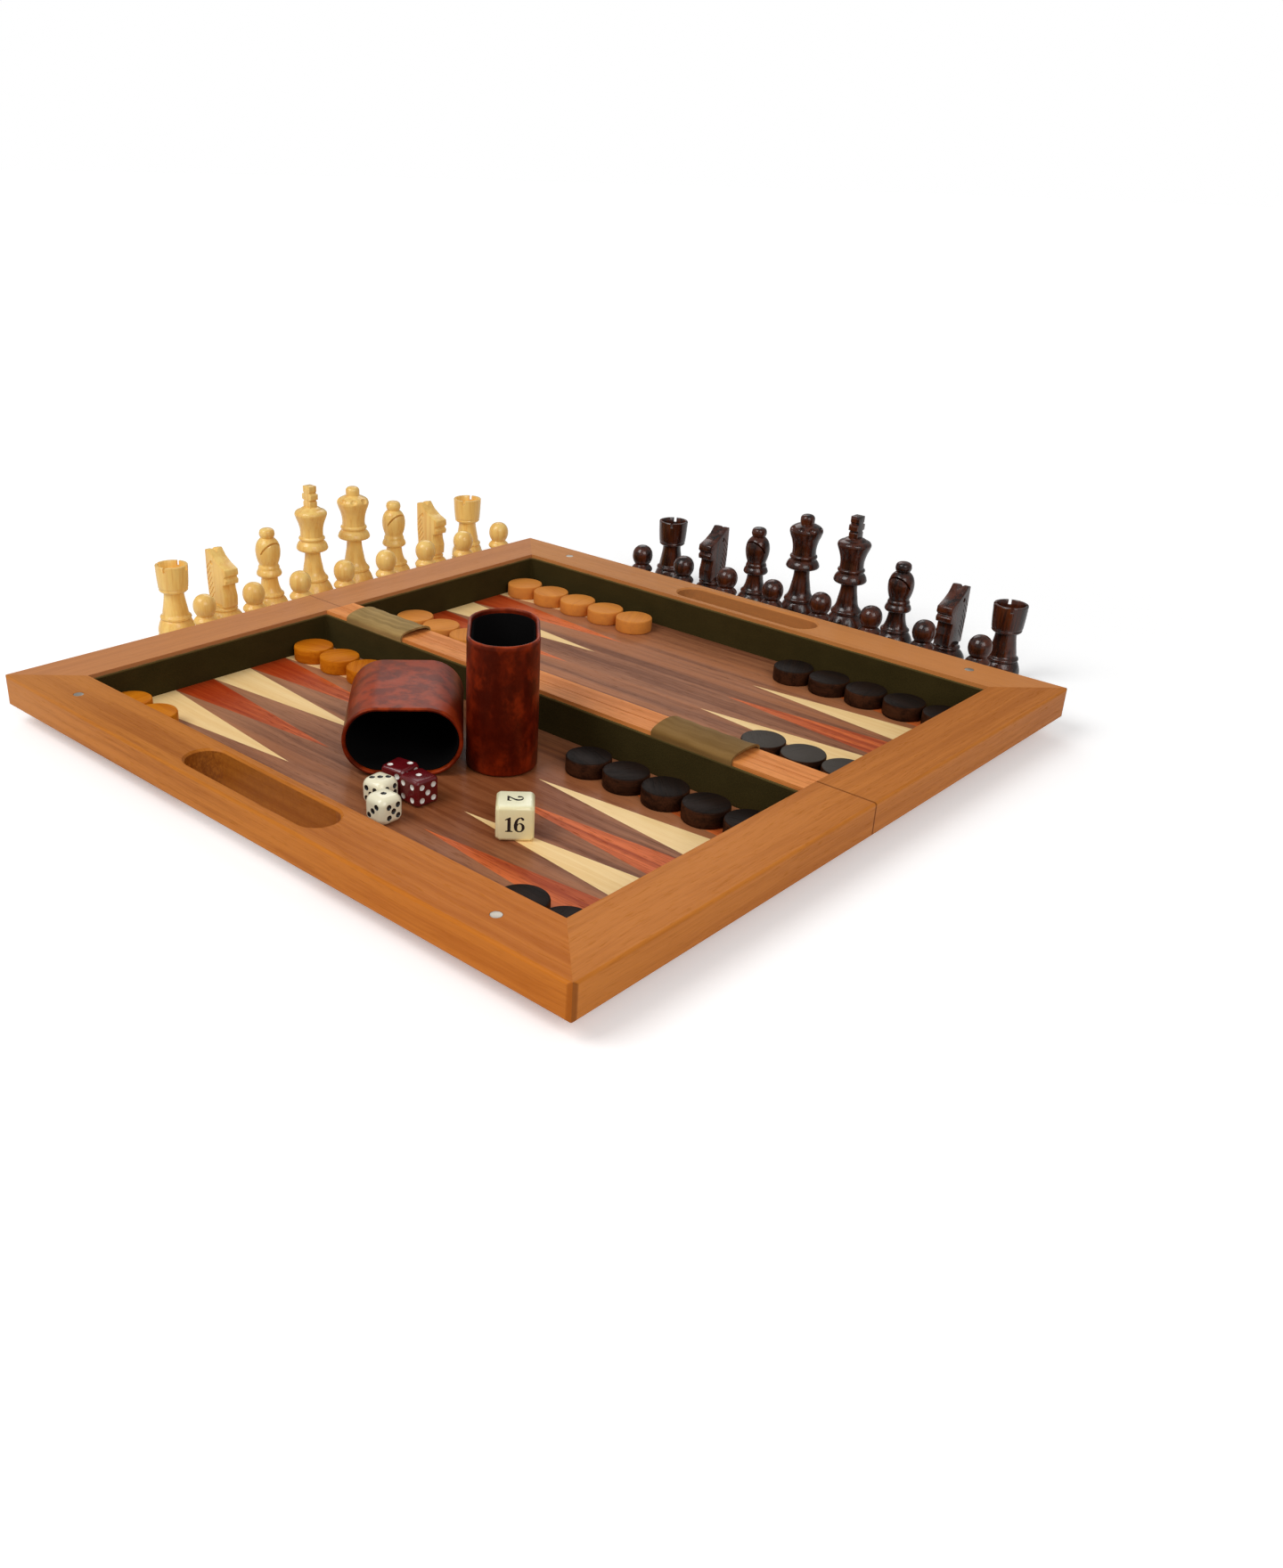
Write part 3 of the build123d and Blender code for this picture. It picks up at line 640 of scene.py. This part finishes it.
def pip_places(number, spread):
    """Where the pips of a face lie, as (right, up) from its middle."""
    diagonal = [(-spread, -spread), (spread, spread)]
    other = [(-spread, spread), (spread, -spread)]
    places = [(0.0, 0.0)] if number % 2 else []
    if number > 1:
        places += diagonal
    if number > 3:
        places += other
    if number == 6:
        wider = 1.2 * spread
        places = [(side * spread, row * wider) for side in (-1, 1) for row in (-1, 0, 1)]
    return places


def face_turn(right, up):
    """The turn that lays +X along right and +Y along up on a face of a cube."""
    right, up = Vector(right), Vector(up)
    return Matrix((right, up, right.cross(up))).transposed().to_4x4()


def tilt(degrees, axis="Z"):
    """A turn about an axis."""
    return Matrix.Rotation(math.radians(degrees), 4, axis)


faces_of_cube = {
    "front": face_turn((1, 0, 0), (0, 0, 1)),
    "right": face_turn((0, 1, 0), (0, 0, 1)),
    "back": face_turn((-1, 0, 0), (0, 0, 1)),
    "left": face_turn((0, -1, 0), (0, 0, 1)),
    "top": face_turn((1, 0, 0), (0, 1, 0)),
    "bottom": face_turn((1, 0, 0), (0, -1, 0)),
}


def soft_cube(size, edge):
    """A moulded cube with its edges rounded over and its corners ground to a ball."""
    cube = bmesh.new()
    bmesh.ops.create_cube(cube, size=size)
    bmesh.ops.bevel(cube, geom=cube.edges[:], offset=edge, segments=6, profile=0.5,
                    affect="EDGES", material=-1)
    ground_off = 0.97
    ball = ground_off * (math.sqrt(3) * (size / 2 - edge) + edge)
    for corner in cube.verts:
        corner.co *= min(1.0, ball / corner.co.length)
    return cube


die_size = 12.7 * mm
pip_radius = 1.45 * mm
pip_ball = 1.8 * mm


def die(numbers, edge, spread):
    """A die with the numbers of its front, right and top faces; opposite faces add up to seven."""
    front, right, top = numbers
    shown = {"front": front, "right": right, "top": top,
             "back": 7 - front, "left": 7 - right, "bottom": 7 - top}
    cutter = bmesh.new()
    sunk = math.sqrt(pip_ball ** 2 - pip_radius ** 2)
    for face, number in shown.items():
        for u, v in pip_places(number, die_size * spread):
            place = faces_of_cube[face] @ Matrix.Translation((u, v, die_size / 2 + sunk))
            bmesh.ops.create_icosphere(cutter, subdivisions=2, radius=pip_ball, matrix=place)
    for cut_face in cutter.faces:
        cut_face.material_index = 1
    return cut("die", soft_cube(die_size, edge), cutter)


def plastic(name, pale, dark):
    """Moulded plastic with faint clouding and a soft polish."""
    finish = Finish(name)
    milky = finish.noise(finish.node("TexCoord", output="Object"), (4 * mm, 4 * mm, 4 * mm), 3.0)
    finish.colour = finish.mix(milky, dark, pale)
    finish.surface(Base_Color=finish.colour, Roughness=0.22 + milky * 0.08,
                   Coat_Weight=0.3, Coat_Roughness=0.1)
    return finish


ivory = plastic("ivory plastic", (1.0, 0.94, 0.70), (0.97, 0.88, 0.62))
red = plastic("dark red plastic", (0.17, 0.006, 0.010), (0.09, 0.003, 0.005))
black_paint = plastic("black paint", (0.02, 0.02, 0.02), (0.01, 0.01, 0.01))
white_paint = plastic("white paint", (0.85, 0.83, 0.78), (0.75, 0.72, 0.66))
# The place of each die, its turn, and the numbers of its front, right and top faces.
dice = (
    ("ivory", ivory, black_paint, "ivory_plastic", 3.3 * mm, 0.2,
     ((29.0, -131.8, 0.0, (3, 5, 1)), (15.4, -122.0, 6.0, (5, 6, 3)))),
    ("red", red, white_paint, "red_plastic", 1.5 * mm, 0.25,
     ((25.6, -108.4, -4.0, (4, 5, 1)), (11.2, -106.6, 10.0, (3, 6, 2)))),
)
for colour, body_finish, pip_finish, slot, edge, spread, thrown in dice:
    pair = bmesh.new()
    for x, y, angle, numbers in thrown:
        known = len(pair.verts)
        pair.from_mesh(mesh_of(die(numbers, edge, spread), "die"))
        pair.verts.ensure_lookup_table()
        move = Matrix.Translation((x * mm, y * mm, floor_top + die_size / 2)) @ tilt(angle)
        bmesh.ops.transform(pair, matrix=move, verts=pair.verts[known:])
    piece(f"{colour}_dice_pair", pair, [body_finish, pip_finish], "near_tray", slot, f"{colour}_dice",
          crease=30)

# ---- The doubling cube -------------------------------------------------------------------------------
# A larger ivory coloured cube with the six stakes of the game printed in black on its faces.
# It lies on one face with 16 to the front.
cube_size = 16.5 * mm
cube_edge = 1.9 * mm
cube_place = Matrix.Translation((76.9 * mm, -99.9 * mm, floor_top + cube_size / 2)) @ tilt(43)
ink_thickness = 0.03 * mm
ink_lift = 0.01 * mm
# Bold numerals with serifs, drawn in hundredths of their height; a third value marks a sharp point.
numeral_height = 6.9 * mm
numeral_breadth = 1.16
numeral_gap = 6
numerals = {
    "1": (((2, 0, 1), (2, 6, 1), (13, 9, 1), (13, 82, 1), (1, 78, 1), (0, 84, 1), (24, 99, 1), (30, 100, 1),
           (30, 9, 1), (41, 6, 1), (41, 0, 1)),),
    "2": (((2, 0, 1), (59, 0, 1), (62, 27, 1), (56, 27, 1), (52, 16), (44, 13, 1), (22, 13, 1), (38, 32),
           (54, 52), (58, 71), (50, 92), (30, 100), (10, 93), (2, 76), (6, 65), (14, 63), (21, 70), (18, 82),
           (20, 91), (28, 94), (37, 88), (41, 71), (35, 50), (18, 26), (2, 8, 1)),),
    "3": (((2, 78), (10, 94), (29, 100), (48, 92), (54, 75), (49, 60), (38, 53, 1), (52, 45), (58, 27),
           (50, 7), (27, -1), (7, 5), (0, 19), (5, 29), (14, 30), (19, 22), (18, 11), (28, 5), (37, 11),
           (41, 27), (36, 43), (20, 48, 1), (20, 54, 1), (34, 60), (38, 75), (35, 89), (28, 94), (19, 90),
           (20, 78), (14, 70), (5, 70)),),
    "4": (((20, 0, 1), (20, 6, 1), (32, 9, 1), (32, 25, 1), (0, 25, 1), (0, 32, 1), (37, 100, 1),
           (48, 100, 1), (48, 36, 1), (60, 36, 1), (60, 25, 1), (48, 25, 1), (48, 9, 1), (58, 6, 1),
           (58, 0, 1)), ((32, 36, 1), (32, 76, 1), (9, 36, 1))),
    "6": (((54, 88), (46, 98), (33, 100), (14, 88), (3, 64), (0, 36), (7, 10), (28, -1), (49, 9), (57, 32),
           (49, 54), (33, 62), (19, 55, 1), (21, 72), (29, 89), (37, 92), (40, 84), (47, 79), (53, 82)),
          ((18, 30), (21, 48), (30, 55), (38, 47), (41, 31), (38, 12), (29, 6), (20, 13))),
    "8": (((29, 100), (50, 91), (55, 75), (50, 61), (42, 53), (54, 43), (58, 25), (49, 6), (28, -1), (8, 6),
           (0, 25), (6, 42), (16, 51), (6, 62), (3, 77), (10, 92)),
          ((29, 94), (37, 88), (40, 77), (35, 62), (22, 67), (18, 78), (21, 89)),
          ((28, 5), (38, 12), (42, 24), (36, 38), (21, 46), (16, 27), (19, 11))),
}


def printed_number(number):
    """The numerals of a number side by side, centred, as a thin mesh of ink."""
    widths = [max(point[0] for point in numerals[digit][0]) for digit in number]
    left = -(sum(widths) + numeral_gap * (len(number) - 1)) / 2
    ink = bpy.data.curves.new("ink", "CURVE")
    ink.dimensions = "2D"
    ink.fill_mode = "BOTH"
    ink.extrude = ink_thickness
    ink.resolution_u = 3
    for digit, width in zip(number, widths):
        for loop in numerals[digit]:
            trace(ink, [
                (Vector(((left + x) * numeral_breadth, y - 50, 0)) / 100 * numeral_height, sharp)
                for x, y, *sharp in loop], closed=True)
        left += width + numeral_gap
    holder = bpy.data.objects.new("ink", ink)
    made = bpy.data.meshes.new_from_object(holder)
    bpy.data.objects.remove(holder)
    return made


stakes = (("front", "16", 0), ("top", "2", 270), ("right", "8", 0), ("left", "4", 0),
          ("back", "32", 0), ("bottom", "64", 0))
doubling = soft_cube(cube_size, cube_edge)
for face, stake, angle in stakes:
    printed = printed_number(stake)
    lifted = Matrix.Translation((0, 0, cube_size / 2 + ink_lift))
    printed.transform(faces_of_cube[face] @ lifted @ tilt(angle))
    for inked_face in printed.polygons:
        inked_face.material_index = 1
    doubling.from_mesh(printed)
bmesh.ops.transform(doubling, matrix=cube_place, verts=doubling.verts)
cube_ivory_lit_top = plastic("doubling cube ivory", (1.0, 0.93, 0.57), (0.97, 0.85, 0.47))
# Painted highlight: the top face is painted paler, as if lit from above.
stain(cube_ivory_lit_top, cube_ivory_lit_top.rise(facing_up(cube_ivory_lit_top), 0.6, 0.95) * 0.8, (1.0, 0.97, 0.69))
piece("doubling_cube_numbered", doubling, [cube_ivory_lit_top, black_paint], "near_tray", "ivory_plastic",
      "doubling_cube", crease=30)

# ---- The dice cups -----------------------------------------------------------------------------------
# Two oval cups of stiff board wrapped in glossy burgundy leather, turned over a thin rim
# and lined with black felt. One stands and one lies with its mouth to the dice.
leather = Finish("burgundy leather")
hide = leather.node("TexCoord", output="Object")
patches = leather.noise(hide, (22 * mm, 22 * mm, 30 * mm), 4.0, 0.6)
blots = leather.noise(hide, (4 * mm, 4 * mm, 6 * mm), 4.0, 0.7)
hide_tone = leather.rise(patches * 0.65 + blots * 0.35, 0.36, 0.7)
leather.colour = leather.mix(hide_tone, (0.055, 0.0035, 0.0008), (0.17, 0.013, 0.002))
rubs = leather.noise(hide, (8 * mm, 8 * mm, 9 * mm), 3.0, 0.6)
stain(leather, leather.rise(rubs * 0.6 + patches * 0.4, 0.45, 0.64) * 0.6, (0.34, 0.030, 0.004))
lit_from_above = leather.rise(facing_up(leather), 0.2, 0.95)
stain(leather, lit_from_above * (0.2 + leather.rise(rubs, 0.38, 0.6) * 0.4), (0.44, 0.055, 0.008))
pebbles = leather.node("TexVoronoi", {"feature": "DISTANCE_TO_EDGE"}, {"Vector": hide, "Scale": 1400.0})
leather.surface(Roughness=0.3 + blots * 0.12, Specular_IOR_Level=0.3, Specular_Tint=(1.0, 0.42, 0.26),
                Normal=leather.bump(leather.rise(pebbles, 0.0, 0.25), 0.1, 0.15 * mm))
black_felt = Finish("black felt")
black_fuzz = black_felt.noise(black_felt.node("TexCoord", output="Object"), (0.5 * mm,) * 3, 4.0, 0.7)
black_felt.surface(Base_Color=black_felt.mix(black_fuzz, (0.001, 0.001, 0.001), (0.007, 0.006, 0.006)),
                   Roughness=0.95, Specular_IOR_Level=0.05,
                   Normal=black_felt.bump(black_fuzz, 0.4, 0.3 * mm))
cup_length = 64 * mm
cup_straight = 11 * mm
cup_wall_outline = (
    (0, 0.3, 1), (14.6, 0.3, 1), (15.4, 0, 1), (16.4, 0.35), (16.9, 1.4, 1), (16.95, 30, 1),
    (16.9, 60.5, 1), (16.95, 62.4), (16.6, 63.6), (16.0, 63.95), (15.3, 63.5), (15.0, 62.2, 1),
    (15.0, 2.1, 1), (0, 2.1, 1))
cup_felt_outline = (
    (0, 2.1, 1), (14.9, 2.1, 1), (14.95, 61.4, 1), (14.6, 61.9), (14.2, 61.4, 1), (14.1, 3.5, 1),
    (13.5, 3.05, 1), (0, 3.05, 1))
standing = Matrix.Translation((15.5 * mm, -45.5 * mm, 5.1 * mm)) @ tilt(134)
lying_angle = math.radians(136)
to_bottom = Vector((math.cos(lying_angle), math.sin(lying_angle), 0))
mouth = Vector((2 * mm, -97 * mm, 21.8 * mm))
lying = Matrix.Translation(mouth + to_bottom * cup_length)
lying = lying @ face_turn((to_bottom.y, -to_bottom.x, 0), (0, 0, 1))
for cup, body, place in (("standing", "standing_cup", standing), ("lying", "near_tray", lying)):
    for part, outline, finish, slot in (
        ("shell", cup_wall_outline, leather, "leather"), ("lining", cup_felt_outline, black_felt, "cup_felt"),
    ):
        oval = turned(outline, 64)
        for vertex in oval.verts:
            if abs(vertex.co.x) > 1e-6:
                vertex.co.x += math.copysign(cup_straight, vertex.co.x)
        bmesh.ops.transform(oval, matrix=place, verts=oval.verts)
        piece(f"{cup}_cup_{part}_made", oval, [finish], body, slot, f"{cup}_cup_{part}")


# ---- The chessmen ------------------------------------------------------------------------------------
# Turned wooden men, sixteen natural and sixteen stained dark, lacquered, with a groove round
# the foot and dark felt under it. They stand on the table, on the left of the box and behind it.
def foot(radius, neck, top):
    """The band, groove, swelling and rounded ring that every man stands on."""
    band = 4.6
    swell = top - band
    flare = radius - neck
    ring = 0.22 * top
    return [
        (0, 0, 1), (radius - 1.0, 0, 1), (radius - 1.0, 0.7, 1), (radius - 0.3, 0.75, 1), (radius, 1.2, 1),
        (radius, 3.2, 1), (radius - 0.25, 3.6, 1), (radius - 0.85, 3.9, 1), (radius - 0.85, 4.2, 1),
        (radius - 0.3, band), (radius - 0.1, band + 0.2 * swell),
        (radius - 0.33 * flare, band + 0.55 * swell), (neck + 0.3 * flare, band + 0.8 * swell),
        (neck - 0.1, top - 0.3, 1), (neck - 0.5, top + 0.1, 1),
        (neck + 0.2, top + 0.3 * ring), (neck + 0.1, top + 0.65 * ring), (neck - 1.0, top + 1.05 * ring),
    ]


man_outlines = {
    "pawns": foot(9.5, 7.2, 9.2) + [
        (4.5, 12.9), (3.4, 15.4), (3.5, 16.2, 1), (5.2, 16.7), (6.6, 17.9), (6.8, 19.0), (6.0, 20.4),
        (4.7, 21.6, 1), (4.6, 22.0, 1), (6.0, 24.6), (6.5, 27.9), (5.6, 31.3), (3.2, 33.7), (0, 34.5, 1)],
    "bishops": foot(11.1, 8.3, 12.0) + [
        (6.3, 16.8), (5.4, 20.4), (4.95, 24.2, 1), (6.4, 24.6), (7.7, 25.8), (7.6, 27.2), (6.6, 29.2, 1),
        (6.5, 30.5), (6.0, 31.6, 1), (5.9, 32.4, 1), (6.7, 34.6), (7.5, 38.5), (7.5, 42.0), (6.6, 45.4),
        (5.0, 47.6), (3.9, 48.5, 1), (4.6, 50.0), (4.7, 51.6), (3.8, 53.6), (0, 54.5)],
    "queen": foot(12.0, 9.2, 14.6) + [
        (7.1, 20.0), (6.0, 25.0), (5.0, 31.0), (4.8, 35.4, 1), (8.6, 35.8), (10.2, 36.9), (10.1, 38.2),
        (9.1, 40.2), (7.8, 41.5, 1), (7.8, 42.1, 1), (8.4, 42.8), (8.3, 43.8), (7.4, 44.6, 1), (7.3, 48.0),
        (8.2, 53.0), (9.7, 57.0), (10.2, 59.4), (9.5, 61.0), (7.0, 62.7), (4.3, 63.7, 1), (4.4, 65.6),
        (4.2, 67.6), (2.8, 69.0), (0, 69.3)],
    "king": foot(12.5, 9.0, 14.8) + [
        (6.9, 20.2), (5.9, 25.0), (5.0, 30.5), (4.9, 33.6, 1), (8.2, 34.3), (9.9, 35.6), (9.8, 37.0),
        (8.8, 39.2), (7.6, 40.5, 1), (7.6, 41.1, 1), (8.2, 41.8), (8.1, 42.7), (7.2, 43.5, 1), (7.2, 47.6),
        (8.2, 52.0), (9.7, 56.0), (10.1, 57.8), (9.2, 59.4), (7.0, 60.4, 1), (5.6, 61.4), (3.0, 62.2, 1),
        (0, 62.3, 1)],
    "rooks": foot(10.9, 8.9, 12.6) + [
        (7.4, 17.8), (6.6, 22.2), (5.9, 27.0), (5.9, 28.6, 1), (7.6, 29.4), (8.4, 30.4), (8.2, 31.2, 1),
        (8.6, 31.8, 1), (9.1, 38.0), (9.4, 44.9, 1), (9.2, 45.2, 1), (7.9, 45.2, 1), (7.7, 44.9, 1),
        (7.4, 41.0, 1), (0, 40.6, 1)],
    "knights": foot(11.0, 7.6, 10.6) + [(6.6, 13.4, 1), (6.6, 14.2, 1), (0, 14.2, 1)],
}

man_woods = {
    "natural": wood("natural chessman wood", (1.0, 0.68, 0.21), (0.88, 0.50, 0.12), "Z", "grain",
                    pores=0.12, width=2.5 * mm, gloss=0.2, shine=0.4),
    "dark": wood("dark chessman wood", (0.095, 0.019, 0.005), (0.006, 0.003, 0.003), "Z", "grain",
                 pores=0.3, width=2.5 * mm, gloss=0.16, shine=0.5),
}
pad_felt = (0.012, 0.010, 0.010)
for finish in man_woods.values():
    stain(finish, finish.rise(place_along(finish, "Z"), 0.76 * mm, 0.72 * mm), pad_felt)


def block(x, y, z, place):
    """A plain rectangular solid to be cut from a man."""
    made = bmesh.new()
    bmesh.ops.create_cube(made, size=1.0, matrix=place @ Matrix.Diagonal((x * mm, y * mm, z * mm, 1)))
    return made


def gathered(shapes):
    """Several shapes as one mesh."""
    together = bmesh.new()
    for shape in shapes:
        together.from_mesh(mesh_of(shape, "part"))
    return together


def at(x, y, z):
    """A move to a place in millimetres."""
    return Matrix.Translation((x * mm, y * mm, z * mm))


def plate(outline, thickness, edge):
    """A flat sawn piece, its outline in the XZ plane, with softened edges."""
    made = bmesh.new()
    corners = [made.verts.new((x * mm, -thickness / 2 * mm, z * mm)) for x, z in outline]
    face = made.faces.new(corners)
    moved = bmesh.ops.extrude_face_region(made, geom=[face])["geom"]
    moved = [part for part in moved if isinstance(part, bmesh.types.BMVert)]
    bmesh.ops.translate(made, vec=(0, thickness * mm, 0), verts=moved)
    bmesh.ops.recalc_face_normals(made, faces=made.faces[:])
    bmesh.ops.bevel(made, geom=made.edges[:], offset=edge * mm, segments=2, profile=0.5,
                    affect="EDGES", material=-1, clamp_overlap=True)
    return made


def rook():
    """A tower with two saw cuts across its top."""
    saw = 1.7
    tower = turned(man_outlines["rooks"])
    for angle in (30, 120):
        tower = cut("rook", tower, block(24, saw, 6.0, at(0, 0, 45.3) @ tilt(angle)))
    return tower


def bishop():
    """A mitre with one slanting saw cut."""
    saw = 1.0
    slit = block(9.2, 18, saw, at(-4.6, 0, 43.2) @ tilt(58, "Y"))
    return cut("bishop", turned(man_outlines["bishops"]), slit)


def queen():
    """A crown with eight scoops round its edge."""
    scoop_radius = 2.7 * mm
    scoops = bmesh.new()
    for number in range(8):
        place = tilt(45 * number + 10) @ at(10.3, 0, 61.9)
        bmesh.ops.create_icosphere(scoops, subdivisions=3, radius=scoop_radius, matrix=place)
    return cut("queen", turned(man_outlines["queen"]), scoops)


def king():
    """A crown with a stepped cross let into it."""
    half_cross = (
        (3.4, 61.8), (3.4, 65.2), (2.6, 65.6), (2.6, 66.2), (4.4, 66.6), (4.4, 70.0), (2.6, 70.4),
        (2.6, 71.0), (3.2, 71.4), (3.2, 75.0))
    left = [(-x, z) for x, z in half_cross]
    cross = plate(left + list(reversed(half_cross)), 5.8, 0.4)
    return gathered((turned(man_outlines["king"]), cross))


def knight():
    """A sawn head with drilled eyes, seven mane lines a side and a notch between the ears."""
    head = plate((
        (-7.4, 13.6), (-7.8, 20.0), (-6.4, 24.4), (-6.2, 27.2), (-9.4, 28.2), (-9.9, 30.8), (-8.2, 32.2),
        (-10.1, 33.8), (-9.7, 37.2), (-3.5, 39.8), (1.6, 43.0), (5.4, 47.4), (9.4, 46.6), (9.4, 30.0),
        (8.2, 13.6)), 9.6, 0.5)
    eye_radius = 1.3 * mm
    cuts = []
    for y in (-5.2, 5.2):
        drilled = bmesh.new()
        bmesh.ops.create_cone(
            drilled, cap_ends=True, segments=20, radius1=eye_radius, radius2=eye_radius, depth=1.8 * mm,
            matrix=at(3.4, y, 39.6) @ tilt(90, "X"))
        cuts.append(drilled)
        for line in range(7):
            cuts.append(block(7.5, 1.5, 0.5, at(7.6 - line * 0.55, y, 36.5 - line * 2.9) @ tilt(52, "Y")))
    cuts.append(block(12, 3.4, 3.4, at(6.5, 0, 47.6) @ tilt(45, "X")))
    for cutter in cuts:
        head = cut("head", head, cutter)
    return gathered((turned(man_outlines["knights"]), head))


rank_pitch = 34 * mm
pawn_row = half + 18 * mm
back_row = pawn_row + 31 * mm
natural_first = 178 * mm
dark_first = -106 * mm
placed = {
    "natural": lambda file, out: (-out, natural_first - file * rank_pitch, 0.0, math.pi),
    "dark": lambda file, out: (dark_first + file * rank_pitch, out, 0.0, math.pi / 2),
}
kinds = (
    ("pawns", lambda: turned(man_outlines["pawns"]), range(8), pawn_row),
    ("rooks", rook, (0, 7), back_row),
    ("knights", knight, (1, 6), back_row),
    ("bishops", bishop, (2, 5), back_row),
    ("queen", queen, (3,), back_row),
    ("king", king, (4,), back_row),
)
for colour, slot in (("natural", "boxwood"), ("dark", "ebonised")):
    for kind, make, files, out in kinds:
        men = set_out(make(), [placed[colour](file, out) for file in files])
        piece(f"{colour}_{kind}_turned", men, [man_woods[colour]], "near_tray", slot, f"{colour}_{kind}")
